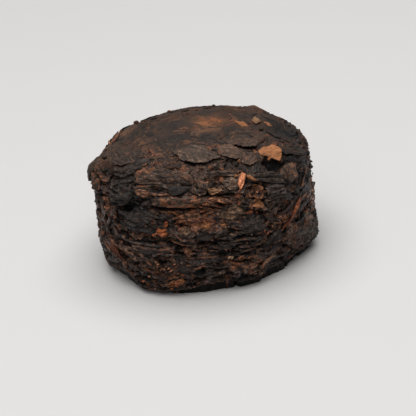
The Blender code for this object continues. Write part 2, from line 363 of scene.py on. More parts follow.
def cleftDepth(points):
    # how far the surface is pressed in at each point
    flat = points.reshape(-1, 3)
    depth, wander = np.zeros(len(flat)), 0
    for number, (amount, pitch) in enumerate(sownClefts["wander"]):
        wander = wander + amount * smoothNoise(flat * pitch, 200 + number)
    for (centre, along, sideways, half, halfWidth), deepest in zip(cleftFrames, cleftTable["level"]):
        near = np.flatnonzero(np.abs(flat - centre).max(axis=1) < half + sownClefts["search"])
        if not len(near):
            continue
        offset = flat[near] - centre
        u = offset @ along / half
        v = (offset @ sideways + wander[near]) / halfWidth
        gap = u * u + np.abs(v) ** 1.6 / (1.05 - np.clip(u * u, 0, 1))
        dip = deepest * np.clip(1.15 - gap, 0, 1) ** 0.7
        depth[near] = np.maximum(depth[near], np.where(np.abs(u) < 1, dip, 0))
    return depth.reshape(points.shape[:-1])


# Broad swellings that all leaves follow, stretched round the side
swelling = {
    "pitch": (0.3, 0.3, 0.66), "side": 0.2, "crown": 0.07, "tone": 0.14, "footTuck": 0.34,
    "footHeight": 2.4, "sideFrom": (13.2, -1.5),
}
# Places where the cake is worn back, or stands a little prouder
wornPlaces = (  # azimuth, height, reach, rise
    (-34, 0.8, 2.8, -0.95), (-52, 0.4, 2.4, -0.55), (-95, 0.2, 2.8, -0.95), (-146, 1, 2.6, -0.55),
    (-2, 6.5, 4.5, -0.4), (6, 13.3, 2.8, -0.5), (160, 13.4, 3, -0.35), (45, 13.9, 0.9, 0.4),
    (66, 14.2, 1, 0.2), (-170, 12, 1.3, 0.3),
)
wornSpots = spotsOf(wornPlaces)


def swellNoise(points):
    return layeredNoise(points * swelling["pitch"], 120, 3)


def swellRise(points):
    high, crown, side = points[..., 2], swelling["crown"], swelling["side"]
    rise = swellNoise(points) * (crown + (side - crown) * ramp(high, *swelling["sideFrom"]))
    for spot, reach, step in wornSpots:
        rise = rise + step * nearness(points, spot + waistCentre, reach)
    return rise - swelling["footTuck"] * ramp(high, swelling["footHeight"], -swelling["footHeight"])


# Heights and places to the back where the calm begins, and over how much more it grows
calmZone = {"from": (11.8, 1.6), "back": (-8, 8), "front": 0.3}


def towardsBack(points, front):
    # a share that grows to 1 from the front of the crown to its middle
    return front + (1 - front) * ramp(points[..., 1], *calmZone["back"])


def crownCalm(points):
    # the pressed crown is smoother, most of all towards the back
    return ramp(points[..., 2], *calmZone["from"]) * towardsBack(points, calmZone["front"])


# Places that are lighter or darker, more or less rusty
tintPlaces = (  # azimuth, height, reach, red, green, blue, rust
    (73, 14.59, 2.6, 1.15, 1.1, 1.05, 0), (68, 14.585, 2.2, 6.4, 4.5, 2.5, 0),
    (55, 14.57, 1.2, 1.7, 1.45, 1.2, 0), (148, 14.5, 2.6, 0.85, 0.86, 0.88, 0),
    (144, 14.55, 1.1, 0.7, 0.75, 0.8, -0.5), (-106, 14.55, 1, 0.75, 0.8, 0.85, -0.4),
    (12, 13.3, 1.7, 0.38, 0.38, 0.38, -0.3), (3, 13.7, 1.5, 0.55, 0.55, 0.55, -0.2),
    (-177, 14.2, 2.2, 0.85, 0.85, 0.86, 0), (-132, 14.5, 3.2, 1.05, 1.02, 1, 0.05),
    (-120, 14, 2.4, 1.15, 1.08, 1.05, 0.3), (-104, 11.3, 2, 1.2, 1.1, 1.05, 0.25),
    (-90, 10.6, 2.2, 1.8, 1.5, 1.4, 0.6), (-134, 10.6, 2.1, 0.32, 0.33, 0.35, -0.4),
    (-42, 13, 1.7, 0.45, 0.45, 0.45, -0.2), (-68, 12, 2.6, 1.4, 1.4, 1.4, 0.05),
    (-62, 9.6, 2.4, 1.45, 1.35, 1.3, 0.15), (-20, 12.8, 2.8, 0.4, 0.35, 0.34, -0.2),
    (8, 13.5, 2.4, 0.27, 0.27, 0.27, -0.3), (-150, 11.8, 2.6, 0.75, 0.72, 0.7, -0.1),
    (-165, 8, 3, 1.12, 0.75, 0.56, -0.1), (-140, 7, 2.6, 0.99, 0.78, 0.66, 0),
    (-150, 3.4, 2.8, 0.64, 0.52, 0.45, -0.1), (-100, 8, 3, 1.25, 1.18, 1.15, 0.1),
    # the next three rows lighten the foot's shaded underside: painted light
    (-95, 1.2, 2.6, 1.3, 1.25, 1.2, 0.1), (-62, 1, 2.6, 1.3, 1.25, 1.2, 0.1),
    (-36, 1.4, 2.4, 1.3, 1.25, 1.2, 0), (-114, 3.6, 1.9, 1.2, 1.1, 1.05, 0.25),
    (-58, 2, 1.2, 1.4, 1.3, 1.2, 0.3), (-34, 4.4, 2.4, 1.05, 1.07, 1.1, 0),
    (-32, 8.6, 2.4, 0.78, 0.8, 0.84, -0.2), (-8, 7, 2.4, 2.9, 2.65, 2.4, 0),
    (-72, 3.4, 2.2, 1.1, 1.1, 1.1, 0.15),
)
tintSpots = spotsOf(tintPlaces)
tones = {
    # darker and warmer on the crown, most towards the back; the darkening is painted shade that offsets the
    # lamps' stronger light and sheen up there
    "crown": (0.485, 0.405, 0.34), "crownFrom": (12.4, 1.6), "crownFront": 0.5,
    "side": (0.95, 1.05, 1.22), "sideFrom": (12.5, -2),
    "cloudPitch": 0.75, "cloud": (0.5, 0.3, 0.06),  # soft brown clouds on the crown
    "evenShare": 0.25,  # on the smoother crown the leaves differ less in colour
    "middle": np.array((0.072, 0.043, 0.03)),
}


def placeTint(points):
    # colour factors and extra rust at points near the form
    colour, rust = np.zeros(points.shape), np.zeros(points.shape[:-1])
    for spot, reach, *factors, rustiness in tintSpots:
        weight = nearness(points, spot + waistCentre, reach)
        colour = colour + np.log(factors) * weight[..., None]
        rust = rust + rustiness * weight
    crown = ramp(points[..., 2], *tones["crownFrom"]) * towardsBack(points, tones["crownFront"])
    cloud = layeredNoise(points * tones["cloudPitch"], 140, 3)[..., None]
    colour = colour + (np.log(tones["crown"]) + cloud * tones["cloud"]) * crown[..., None]
    colour = colour + np.log(tones["side"]) * ramp(points[..., 2], *tones["sideFrom"])[..., None]
    return np.exp(colour + swelling["tone"] * swellNoise(points + 3)[..., None]), rust


def evened(tints, calm):
    # tints drawn towards the middle one where the crown is calm
    pull = (tones["evenShare"] * calm)[:, None]
    return tints ** (1 - pull) * tones["middle"] ** pull


# Leaf colours in linear light, and how rusty each kind is
leafKinds = {
    "darkLeaf": (0.05, 0.032, 0.024, 0.4), "brownLeaf": (0.097, 0.054, 0.035, 0.75),
    "rustLeaf": (0.153, 0.065, 0.034, 1.2), "oliveLeaf": (0.116, 0.066, 0.038, 0.6),
    "slatyLeaf": (0.1, 0.063, 0.043, 0.5), "greyLeaf": (0.049, 0.033, 0.027, 0.2),
    "blackLeaf": (0.021, 0.014, 0.011, 0), "redLeaf": (0.079, 0.033, 0.02, 1),
    "orangeLeaf": (0.259, 0.07, 0.022, 0.3), "goldenLeaf": (0.269, 0.142, 0.07, 0),
    "tanFlake": (0.402, 0.158, 0.059, 0), "pinkStalk": (0.576, 0.213, 0.099, 0),
}
variety = {"tone": 0.38, "hue": 0.025, "rust": (0.3, 1.5), "mostRust": 1.2}  # between leaves of a kind


def pickKinds(count, shares, seed):
    weights = np.array(list(shares.values()), float)
    picked = np.random.default_rng(seed).choice(len(shares), count, p=weights / weights.sum())
    return np.array(list(shares))[picked]


def tintsOf(kinds, seed):
    draw = np.random.default_rng(seed)
    table, count = np.array([leafKinds[kind] for kind in kinds]), len(kinds)
    tint = table[:, :3] * np.exp(draw.normal(0, variety["tone"], (count, 1)))
    tint = tint * np.exp(draw.normal(0, variety["hue"], (count, 3)))
    return tint, np.clip(table[:, 3] * draw.uniform(*variety["rust"], count), 0, variety["mostRust"])


def sow(settings):
    # scattered leaves, each with a kind, a tint and how rusty it is
    leaves = scatterLeaves(settings)
    kindSeed, tintSeed = settings["kindSeeds"]
    leaves["kind"] = pickKinds(settings["count"], settings["shares"], kindSeed)
    leaves["tint"], leaves["rust"] = tintsOf(leaves["kind"], tintSeed)
    return leaves


def showRows(rows, seed):
    # leaves that are placed one by one, with the kind after the seven numbers
    leaves = tableOf(rows)
    leaves["kind"] = np.array([row[7] for row in rows])
    leaves["tint"], leaves["rust"] = tintsOf(leaves["kind"], seed)
    return leaves


def makePiece(name, points, triangles, material, sharp, run, paint):
    # a smooth mesh of its own; the paint is given for each point or face corner
    corner = triangles.ravel()
    mesh = bpy.data.meshes.new(name)
    mesh.vertices.add(len(points))
    mesh.vertices.foreach_set("co", (points * mm).astype(np.float32).ravel())
    mesh.loops.add(len(corner))
    mesh.loops.foreach_set("vertex_index", corner.astype(np.int32))
    mesh.polygons.add(len(triangles))
    mesh.polygons.foreach_set("loop_start", np.arange(len(triangles), dtype=np.int32) * 3)
    mesh.update(calc_edges=True)
    mesh.validate()
    mesh.shade_smooth()
    if sharp:
        mesh.set_sharp_from_angle(angle=math.radians(sharp))
    mesh.materials.append(material)
    piece = bpy.data.objects.new(name, mesh)
    bpy.context.scene.collection.objects.link(piece)
    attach(piece, "root")
    for key, values in {"leafRun": run, **paint}.items():
        values = values[corner] if len(values) == len(points) else values
        if key == "leafRun":
            layer = mesh.uv_layers.new(name=key)
            layer.uv.foreach_set("vector", values.astype(np.float32).ravel())
        elif values.ndim == 1:
            layer = mesh.attributes.new(key, "FLOAT", "CORNER")
            layer.data.foreach_set("value", values.astype(np.float32))
        else:
            values = np.concatenate([values, np.ones((len(values), 1))], axis=1)
            layer = mesh.attributes.new(key, "FLOAT_COLOR", "CORNER")
            layer.data.foreach_set("color", values.astype(np.float32).ravel())
    print(name, len(triangles), "triangles")
    return piece


def splitQuads(quads):
    return np.concatenate([quads[:, [0, 1, 2]], quads[:, [0, 2, 3]]])


def repeated(triangles, pointCount, copies):
    # the same triangles for each of many equal leaves
    return (triangles + (np.arange(copies) * pointCount)[:, None, None]).reshape(-1, 3)


def leafMark(index):
    # an offset of its own for each leaf, so that its pattern differs from its neighbours'
    return np.stack([index * 3.71 % 97, index * 1.93 % 89], axis=-1)


def offFloor(points, gap=0.05):
    # lifts each leaf that comes closer to the floor than this
    lowest = points[..., 2].min(axis=-1, keepdims=True)
    points[..., 2] += np.maximum(0, gap - lowest)
    return points


# Materials
def nodeOf(tree, kind, **settings):
    node = tree.nodes.new(kind)
    for key, value in settings.items():
        if key in node.inputs:
            node.inputs[key].default_value = value
        else:
            setattr(node, key, value)
    return node


def leafFinish(name, look):
    material = bpy.data.materials.new(name)
    material.use_nodes = True
    tree = material.node_tree
    link = tree.links.new
    shader = tree.nodes["Principled BSDF"]
    paint = {
        key: nodeOf(tree, "ShaderNodeAttribute", attribute_name=key).outputs
        for key in ("leafTint", "wear", "hollow", "rusty", "calm")
    }
    run = nodeOf(tree, "ShaderNodeUVMap", uv_map="leafRun")
    place = nodeOf(tree, "ShaderNodeTexCoord")
    wear, hollow, rusty, calm = (paint[key]["Fac"] for key in ("wear", "hollow", "rusty", "calm"))

    def combine(operation, *values):
        node = nodeOf(tree, "ShaderNodeMath", operation=operation)
        for socket, value in zip(node.inputs, values):
            if hasattr(value, "links"):
                link(value, socket)
            else:
                socket.default_value = value
        return node.outputs["Value"]

    def times(first, second):
        return combine("MULTIPLY", first, second)

    def timesPlus(first, second, third):
        return combine("MULTIPLY_ADD", first, second, third)

    def spread(value, low, high, newLow, newHigh):
        node = nodeOf(tree, "ShaderNodeMapRange")
        for key, number in zip(("From Min", "From Max", "To Min", "To Max"), (low, high, newLow, newHigh)):
            node.inputs[key].default_value = number
        link(value, node.inputs["Value"])
        return node.outputs["Result"]

    def contrast(value, amount):
        return spread(value, 0.3, 0.7, 1 - amount, 1 + amount)

    def noiseOn(vector, **settings):
        noise = nodeOf(tree, "ShaderNodeTexNoise", **settings)
        link(vector, noise.inputs["Vector"])
        return noise.outputs["Fac"]

    def leafNoise(key, detail, distortion):
        # stretched along the leaf
        stretch = nodeOf(tree, "ShaderNodeMapping")
        stretch.inputs["Scale"].default_value = (look[key + "Along"], look[key + "Across"], 1)
        link(run.outputs["UV"], stretch.inputs["Vector"])
        vector = stretch.outputs["Vector"]
        return noiseOn(vector, Scale=1.0, Detail=detail, Roughness=0.6, Distortion=distortion)

    def placeNoise(cellsToAMm, detail):
        return noiseOn(place.outputs["Object"], Scale=cellsToAMm / mm, Detail=detail, Roughness=0.62)

    def scaled(colour, factor):
        node = nodeOf(tree, "ShaderNodeVectorMath", operation="SCALE")
        link(colour, node.inputs[0])
        link(factor, node.inputs["Scale"])
        return node.outputs["Vector"]

    vein, crease = leafNoise("vein", 3.0, 0.6), leafNoise("crease", 4.0, 1.2)
    fleck, zone = leafNoise("fleck", 4.0, 0.8), placeNoise(look["zoneScale"], 2.0)
    mottle, grit = placeNoise(look["mottleScale"], 4.0), placeNoise(look["gritScale"], 3.0)

    # creases are dark lines of painted shade where their noise crosses its middle
    creaseLine = combine("ABSOLUTE", combine("SUBTRACT", crease, 0.5))
    creaseShade = spread(creaseLine, 0.0, look["creaseWidth"], look["creaseDark"], 1.0)
    shade = times(contrast(vein, look["veinContrast"]), contrast(mottle, look["mottleContrast"]))
    shade = times(shade, times(creaseShade, contrast(grit, look["gritContrast"])))
    lively = spread(calm, 0.0, 1.0, 1.0, look["calmShare"])
    shade = timesPlus(combine("SUBTRACT", shade, look["meanShade"]), lively, look["meanShade"])

    # worn ridges and flecks show the rusty inside of the leaf
    rustSum = timesPlus(rusty, look["rustyPull"], timesPlus(wear, look["wearPull"], fleck))
    rustSum = timesPlus(combine("SUBTRACT", zone, 0.5), look["zonePull"], rustSum)
    rustMask = spread(rustSum, look["rustFrom"], look["rustFrom"] + look["rustSoft"], 0.0, look["rustAmount"])
    rustColour = nodeOf(tree, "ShaderNodeRGB")
    rustColour.outputs["Color"].default_value = (*look["rustColour"], 1)
    rusted = nodeOf(tree, "ShaderNodeMix", data_type="RGBA")
    link(times(rustMask, lively), rusted.inputs["Factor"])
    link(scaled(paint["leafTint"]["Color"], shade), rusted.inputs["A"])
    link(scaled(rustColour.outputs["Color"], spread(grit, 0.25, 0.75, 0.35, 1.9)), rusted.inputs["B"])

    # painted shade darkens hollows, crease valleys and clefts
    paintedShade = spread(hollow, 0.0, 1.0, 1.0, 1 - look["hollowShadeDark"])
    link(scaled(rusted.outputs["Result"], paintedShade), shader.inputs["Base Color"])
    rough = spread(mottle, 0.3, 0.7, *look["roughness"])
    link(timesPlus(calm, look["calmRough"], rough), shader.inputs["Roughness"])
    shader.inputs["Specular IOR Level"].default_value = look["specular"]

    creaseDip = spread(creaseLine, 0.0, look["creaseWidth"] * 2, 0.0, look["creaseRelief"])
    relief = combine("ADD", timesPlus(vein, look["veinRelief"], grit), creaseDip)
    bump = nodeOf(tree, "ShaderNodeBump", Strength=look["bump"], Distance=look["bumpDepth"] * mm)
    link(times(relief, lively), bump.inputs["Height"])
    link(bump.outputs["Normal"], shader.inputs["Normal"])
    return material


leafLook = {  # the scales are in cells to a millimetre
    "veinAlong": 1.2, "veinAcross": 3.0, "veinContrast": 0.75, "veinRelief": 1.8,
    "creaseAlong": 0.8, "creaseAcross": 1.8, "creaseWidth": 0.075, "creaseDark": 0.12, "creaseRelief": 2.4,
    "mottleScale": 2.0, "mottleContrast": 0.8, "gritScale": 5.0, "gritContrast": 0.56,
    "fleckAlong": 1.9, "fleckAcross": 5.2, "rustFrom": 0.74, "rustSoft": 0.07, "rustAmount": 0.8,
    "rustColour": (0.25, 0.088, 0.034), "wearPull": 0.1, "rustyPull": 0.16,
    "zoneScale": 0.7, "zonePull": 0.6, "calmShare": 0.2, "meanShade": 0.85, "hollowShadeDark": 0.93,
    "roughness": (0.3, 0.62), "calmRough": 0.32, "specular": 0.34, "bump": 1.0, "bumpDepth": 0.07,
}
leafMaterial = leafFinish("pressedLeaf", leafLook)
brightLook = {
    **leafLook, "veinContrast": 0.3, "creaseDark": 0.6, "creaseWidth": 0.05, "mottleContrast": 0.3,
    "gritContrast": 0.1, "rustAmount": 0.0, "bumpDepth": 0.05,
}
brightMaterial = leafFinish("brightLeaf", brightLook)
print("materials ready")


# Leaves with an outline of their own, as the photograph shows them. An edge
# is given in millimetres, round the side or to the right, and upwards.
outlineDefaults = {
    "kind": "brownLeaf", "level": 0.28, "lean": (0, 0), "crumple": 0.8, "grain": 0, "shade": 1,
    "rust": 0.6, "bowl": 0, "thickness": 0.16, "calm": 0, "tone": 0.22, "rough": 1,
    "pleats": (0, 0, 0),  # folds to a millimetre, the way they run, and how deep
    "lip": -90,  # where the edge stands free, in degrees; it is tucked in on the other side
    "corner": 0.24,  # how far the edge rounds its corners
    "fade": 0,  # how much darker the colour is at the edge
}
outlineShape = {
    "ragged": 0.11, "nick": 0.22, "crease": 0.26, "ripple": 0.09, "pucker": 0.05, "dome": 0.05,
    "under": 0.08, "tuck": 0.26, "lipRise": 0.05, "sharp": 40, "search": 0.4, "jitter": 0.12,
}
crownOutlines = {
    "slatyLeaf": {
        "at": (-94, 14.4), "kind": "slatyLeaf", "level": 0.3, "crumple": 0.7, "grain": -32, "rust": 0.55,
        "shade": 1.08, "calm": 0.35, "lean": (0, -0.05), "pleats": (1.5, -32, 0.03),
        "edge": ((-2.7, 1.7), (-2, -0.3), (-1.5, -1.1), (-0.6, -1.6), (1, -1.8), (1.5, -1.4), (2.5, -0.7),
                 (2.1, 0.3), (1.3, 0.8), (1, 1.8), (0.4, 2.6), (-0.6, 2.8)),
    },
    "roundLeaf": {
        "at": (-55, 13.9), "level": 0.26, "grain": 30, "shade": 0.92, "calm": 0.3, "lean": (0, 0.05),
        "edge": ((-0.9, 1.3), (0, 1.7), (0.9, 0.6), (1, 0), (0.6, -0.8), (-0.1, -1.1), (-0.9, -0.8),
                 (-1.1, -0.1)),
    },
    "upperLeaf": {
        "at": (-42, 14.4), "level": 0.34, "crumple": 1, "shade": 0.8, "lean": (0, -0.06),
        "edge": ((-0.6, 2.3), (0.4, 2.1), (1.1, 1.2), (1.4, 0), (1.2, -1), (0, -1.7), (-0.8, -1.2),
                 (-1.1, -0.3), (-1.2, 1.2)),
    },
    "middleLeaf": {
        "at": (-63, 14.4), "level": 0.26, "crumple": 0.6, "grain": -40, "shade": 1.24, "rust": 1,
        "calm": 0.3,
        "edge": ((-0.5, 1.6), (0.4, 1.4), (1.1, 0.8), (1.1, -1), (0.5, -2.2), (-0.1, -2.3), (-0.9, -1.3),
                 (-1.2, -0.3)),
    },
    "stripedLeaf": {
        "at": (-115, 13.5), "level": 0.18, "crumple": 1.3, "grain": -4, "shade": 0.74, "rust": 1.15,
        "calm": 0.1, "lip": 180, "thickness": 0.1, "pleats": (1.5, 2, 0.08),
        "edge": ((-3.3, -1), (-3.3, 0.1), (-2.7, 0.8), (-1.5, 1.1), (0.3, 1.2), (1.9, 1), (3.2, 0.6),
                 (3.7, 0), (3.2, -0.6), (1.3, -1), (-0.9, -1.2), (-2.4, -1.4)),
    },
    "shoulderLeaf": {
        "at": (-155, 13.9), "level": 0.24, "shade": 0.36,
        "edge": ((-2.7, -0.5), (-2.2, 0.6), (-0.6, 1.3), (1.1, 1.6), (1.9, 1), (1.5, -0.2), (1.1, -1.4),
                 (-0.2, -1.6), (-1.7, -1.2)),
    },
    "foldedLeaf": {
        "at": (-141, 13.6), "kind": "darkLeaf", "level": 0.32, "grain": 48, "rust": 0.3, "shade": 0.82,
        "pleats": (1.2, 48, 0.1),
        "edge": ((-2.2, -1.4), (-1.5, -0.6), (-0.4, -0.4), (0.1, 0.6), (0.6, 1.6), (1.5, 1.5), (1, 0.4),
                 (0.8, -0.6), (0.2, -1.4), (-0.9, -1.6)),
    },
}
sideOutlines = {
    "taperLeaf": {
        "at": (-104, 12.6), "kind": "greyLeaf", "level": 0.3, "crumple": 0.3, "rust": 0, "shade": 0.45,
        "calm": 0.5,
        "edge": ((-1.2, 0.2), (-0.8, 0.4), (0.2, 0.5), (1.4, 0.3), (1, 0), (0.5, -0.4), (-0.4, -0.6),
                 (-1, -0.4)),
    },
    "longRoll": {
        "at": (-104, 11.6), "level": 0.4, "thickness": 0.34, "crumple": 0.9, "shade": 0.92, "rust": 1.3,
        "grain": 3, "bowl": -0.45, "pleats": (0.9, 2, 0.05),
        "edge": ((-3.3, -0.2), (-3, 0.2), (-2.2, 0.4), (-1.1, 0.5), (0.2, 0.4), (1.8, 0.4), (3.1, 0.5),
                 (3.3, 0.1), (2.8, -0.3), (1.8, -0.6), (0.2, -0.7), (-1.5, -0.7), (-2.7, -0.5)),
    },
    # a dark sheet in the pod's hollow, painted shade of its inside
    "podHollowShade": {
        "at": (-116, 12.6), "kind": "rustLeaf", "level": 0.12, "crumple": 0.5, "shade": 0.192, "bowl": 0.45,
        "edge": ((-1.3, -0.2), (-0.9, 0.2), (-0.1, 0.3), (0.7, 0.4), (1.2, 0.2), (1, -0.3), (0, -0.6),
                 (-0.9, -0.6)),
    },
    "podRim": {
        "at": (-115, 12.1), "kind": "rustLeaf", "level": 0.36, "crumple": 0.5, "shade": 1.4, "rust": 0.4,
        "corner": 0.16,
        "edge": ((-1.3, 0.1), (-0.9, 0), (0, 0), (0.8, 0.2), (1.3, 0.1), (0.8, -0.1), (-0.3, -0.2),
                 (-1.1, -0.1)),
    },
    "orangeCurl": {
        "at": (-124, 12.1), "kind": "rustLeaf", "level": 0.36, "crumple": 1.8, "shade": 1.1, "rust": 1.4,
        "bowl": -0.2,
        "edge": ((-0.9, 0.1), (-0.5, 0.3), (0, 0.3), (0.3, 0.4), (0.8, 0.2), (0.9, -0.2), (0.3, -0.5),
                 (-0.3, -0.4), (-0.7, -0.2)),
    },
    "pleatedLeaf": {
        "at": (-93, 12.6), "level": 0.26, "shade": 0.98, "grain": 85, "rust": 0.3,
        "pleats": (2.2, 88, 0.12),
        "edge": ((-0.7, 0.7), (0.1, 0.8), (0.9, 0.5), (0.8, -0.3), (0.4, -0.7), (-0.4, -0.7), (-0.9, -0.3)),
    },
    "facetLeaf": {
        "at": (-74, 12.6), "kind": "slatyLeaf", "level": 0.3, "crumple": 1.6, "rust": 0.3, "shade": 1.53,
        "edge": ((-0.9, 0.6), (-0.1, 0.8), (0.7, 0.6), (0.9, 0), (0.6, -0.7), (-0.6, -0.6), (-1, -0.1)),
    },
    "archLeaf": {
        "at": (-78, 13.5), "level": 0.34, "crumple": 0.4, "grain": -14, "shade": 0.8, "rust": 0.9,
        "calm": 0.3, "pleats": (1.6, -14, 0.14),
        "edge": ((-1.6, 0.3), (-1, 0.7), (-0.4, 0.6), (0.5, 0.2), (1.2, -0.3), (1.2, -0.8), (0.3, -0.6),
                 (-0.8, -0.1)),
    },
    "triangleLeaf": {
        "at": (-37, 11.8), "crumple": 0.5, "grain": 78, "shade": 1.09, "rust": 0.9,
        "pleats": (1.2, 76, 0.06),
        "edge": ((-1.2, 0.5), (0.3, 0.9), (1.3, 0.7), (1.2, -0.2), (0.7, -0.9), (-0.5, -1), (-1.5, -0.2)),
    },
    "broadGrey": {
        "at": (-53, 12.3), "kind": "slatyLeaf", "level": 0.26, "crumple": 0.7, "grain": -14, "shade": 0.55,
        "rust": 0.1, "calm": 0.3, "lean": (0, -0.1), "pleats": (1.3, -16, 0.15),
        "edge": ((-2.2, 1.1), (-0.9, 1), (0.9, 0.4), (2.1, -0.5), (2.1, -1), (1.2, -1.2), (0, -0.7),
                 (-1.9, 0.2)),
    },
    "ridgedLeaf": {
        "at": (-51, 10.7), "kind": "greyLeaf", "level": 0.34, "crumple": 0.9, "grain": -14, "shade": 1.46,
        "rust": 0, "calm": 0.3, "pleats": (2, -12, 0.12),
        "edge": ((-1, 0.8), (0, 0.8), (0.9, 0.4), (1.3, -0.2), (0.9, -0.9), (-0.5, -0.7), (-1.2, 0)),
    },
    "lipLeaf": {
        "at": (-41, 10.2), "kind": "rustLeaf", "level": 0.18, "crumple": 0.4, "shade": 0.46, "bowl": 0.25,
        "edge": ((-0.8, 0.6), (0.2, 0.5), (1, 0), (0.8, -0.5), (0, -0.4), (-0.8, 0.1)),
    },
    "barkLeaf": {
        "at": (-77, 9.7), "kind": "oliveLeaf", "level": 0.18, "crumple": 1.8, "grain": -8, "shade": 1.7,
        "pleats": (1.8, -22, 0.09),
        "edge": ((-1.8, 0.1), (-1.2, 0.6), (-0.3, 0.9), (0.7, 0.8), (1.4, 0.2), (1.6, -0.4), (0.9, -0.7),
                 (-0.2, -0.7), (-1.2, -0.4)),
    },
    "redSlip": {
        "at": (-67, 9.3), "kind": "orangeLeaf", "level": 0.36, "crumple": 0.5, "shade": 0.8, "rust": 0.2,
        "edge": ((-0.6, 0.1), (-0.2, 0.2), (0.3, 0.15), (0.35, 0), (-0.1, -0.15)),
    },
    "darkOval": {
        "at": (-92, 7.5), "kind": "greyLeaf", "level": 0.22, "crumple": 0.35, "shade": 0.75, "rust": 0,
        "calm": 0.4,
        "edge": ((-1, 0.2), (-0.5, 0.7), (0.2, 0.6), (0.9, -0.2), (0.3, -0.6), (-0.7, -0.4)),
    },
    "rustRidge": {
        "at": (-84, 11.3), "kind": "rustLeaf", "level": 0.36, "crumple": 1, "shade": 1.55, "bowl": -0.2,
        "lean": (0, -0.2),
        "edge": ((-1.3, 0.1), (-0.9, 0.4), (-0.2, 0.5), (0.5, 0.4), (1.2, 0), (1.5, -0.4), (0.8, -0.4),
                 (0, -0.1), (-0.8, -0.2)),
    },
    "plumLeaf": {
        "at": (-125, 9.3), "kind": "greyLeaf", "level": 0.24, "crumple": 1, "grain": -18, "shade": 0.84,
        "edge": ((-2.2, -0.2), (-1.5, 0.5), (-0.1, 1), (1.4, 0.9), (2.5, 0.5), (1.2, 0), (0, -0.8),
                 (-1.2, -0.9)),
    },
    "lowerGrey": {
        "at": (-67, 7.8), "kind": "greyLeaf", "level": 0.2, "crumple": 1.1, "grain": -20, "shade": 1.38,
        "edge": ((-0.8, 1.1), (0.2, 1.3), (1.2, 0.6), (1.7, -0.3), (1.2, -1.2), (-0.6, -1.1), (-1.5, -0.4),
                 (-1.5, 0.6)),
    },
    "rustRun": {
        "at": (-100, 10), "kind": "rustLeaf", "level": 0.24, "crumple": 1.1, "grain": 10, "shade": 1.49,
        "edge": ((-1.7, -0.3), (-0.6, 0.2), (0.2, 0.6), (1.1, 0.5), (1.4, -0.2), (0.4, -0.4)),
    },
    "ringKnob": {
        "at": (-158, 12.6), "kind": "rustLeaf", "level": 0.3, "crumple": 0.6, "bowl": 0.7, "grain": 80,
        "shade": 0.42, "rust": 0.3,
        "edge": ((-1.6, -0.1), (-1.8, 0.4), (-1.1, 0.9), (0.2, 0.9), (1.3, 0.3), (1.8, -0.5), (0.9, -0.9),
                 (-0.5, -0.7)),
    },
    # a black sheet in the ring's middle, painted shade of its hole
    "ringHoleShade": {
        "at": (-164, 12.7), "kind": "blackLeaf", "level": 0.1, "shade": 0.9, "rust": 0, "bowl": 0.3,
        "edge": ((-0.6, -0.3), (-0.8, 0.1), (-0.3, 0.5), (0.5, 0.5), (0.9, 0.2), (0.6, -0.3), (0, -0.5)),
    },
    "knobSide": {
        "at": (-165, 11.8), "level": 0.26, "crumple": 1, "shade": 0.82, "rust": 1.1, "grain": 70,
        "rough": 0.6, "pleats": (1.6, 75, 0.08),
        "edge": ((-1.2, 0.4), (-1.4, 0.7), (-1, 1.1), (0, 1), (1.3, -0.1), (1.4, -1.1), (0.2, -1.5),
                 (-0.4, -0.6)),
    },
    "knobBack": {
        "at": (-176, 12.2), "level": 0.2, "crumple": 0.7, "shade": 0.7, "rust": 0.8, "grain": 80,
        "rough": 0.4,
        "edge": ((-1.3, 0.2), (-0.9, 1.2), (0.2, 1.5), (1.2, 1), (1.6, -0.4), (1.3, -1.8), (0.2, -2.3),
                 (-1, -1.6)),
    },
    "smallBrown": {
        "at": (-130, 7.2), "level": 0.24, "crumple": 0.6, "grain": 70, "shade": 0.99,
        "edge": ((-0.4, 0.6), (0.5, 0.8), (0.3, -0.4), (-0.3, -0.8), (-0.5, -0.1)),
    },
    "redTriangle": {
        "at": (-126, 7.4), "kind": "redLeaf", "level": 0.26, "crumple": 0.6,
        "edge": ((-0.3, 0.5), (0.5, 0.1), (0.1, -0.4), (-0.4, -0.3)),
    },
    "blackLump": {
        "at": (-138, 11.1), "kind": "blackLeaf", "level": 0.42, "crumple": 1.2, "shade": 1.15, "rust": 0,
        "thickness": 0.3, "calm": 0.5, "bowl": -0.25, "pleats": (1.5, 35, 0.16),
        "edge": ((-1.7, -0.7), (-1.2, 0), (-0.5, 0.5), (0.6, 0.9), (1.4, 0.9), (1.6, 0.5), (0.9, -0.2),
                 (0.2, -0.8), (-0.8, -0.9)),
    },
    "rightGrey": {
        "at": (-30, 3.6), "kind": "oliveLeaf", "level": 0.2, "crumple": 1.2, "grain": 70, "shade": 0.62,
        "pleats": (1.3, 76, 0.09),
        "edge": ((-2.1, 2), (-0.9, 2), (0.9, 1), (2.6, -0.4), (2.5, -1.7), (0.9, -1.9), (-1.3, -1),
                 (-1.8, 0.2)),
    },
    "goldenRun": {
        "at": (-101, 8.3), "kind": "oliveLeaf", "level": 0.22, "crumple": 1.2, "shade": 1.5, "rust": 1,
        "edge": ((-0.7, 0.1), (-0.2, 0.4), (0.3, 0.2), (0.5, 0), (0.4, -0.4), (-0.2, -0.3), (-0.6, -0.2)),
    },
    "rustBand": {
        "at": (-128, 7.4), "kind": "rustLeaf", "level": 0.2, "crumple": 1.2, "shade": 0.85,
        "edge": ((-1, 0.1), (-0.1, 0.5), (0.9, 0.4), (0.8, 0), (0, -0.5), (-0.8, -0.6)),
    },
    "rustBit": {
        "at": (-101, 5.7), "kind": "rustLeaf", "level": 0.22, "crumple": 1.4, "rust": 1.2,
        "edge": ((-0.4, 0.5), (0.3, 0.5), (0.3, -0.2), (-0.1, -0.5), (-0.5, -0.1)),
    },
    "footRust": {
        "at": (-109, 1.8), "kind": "rustLeaf", "level": 0.2, "crumple": 1.6, "shade": 0.9, "rust": 1.6,
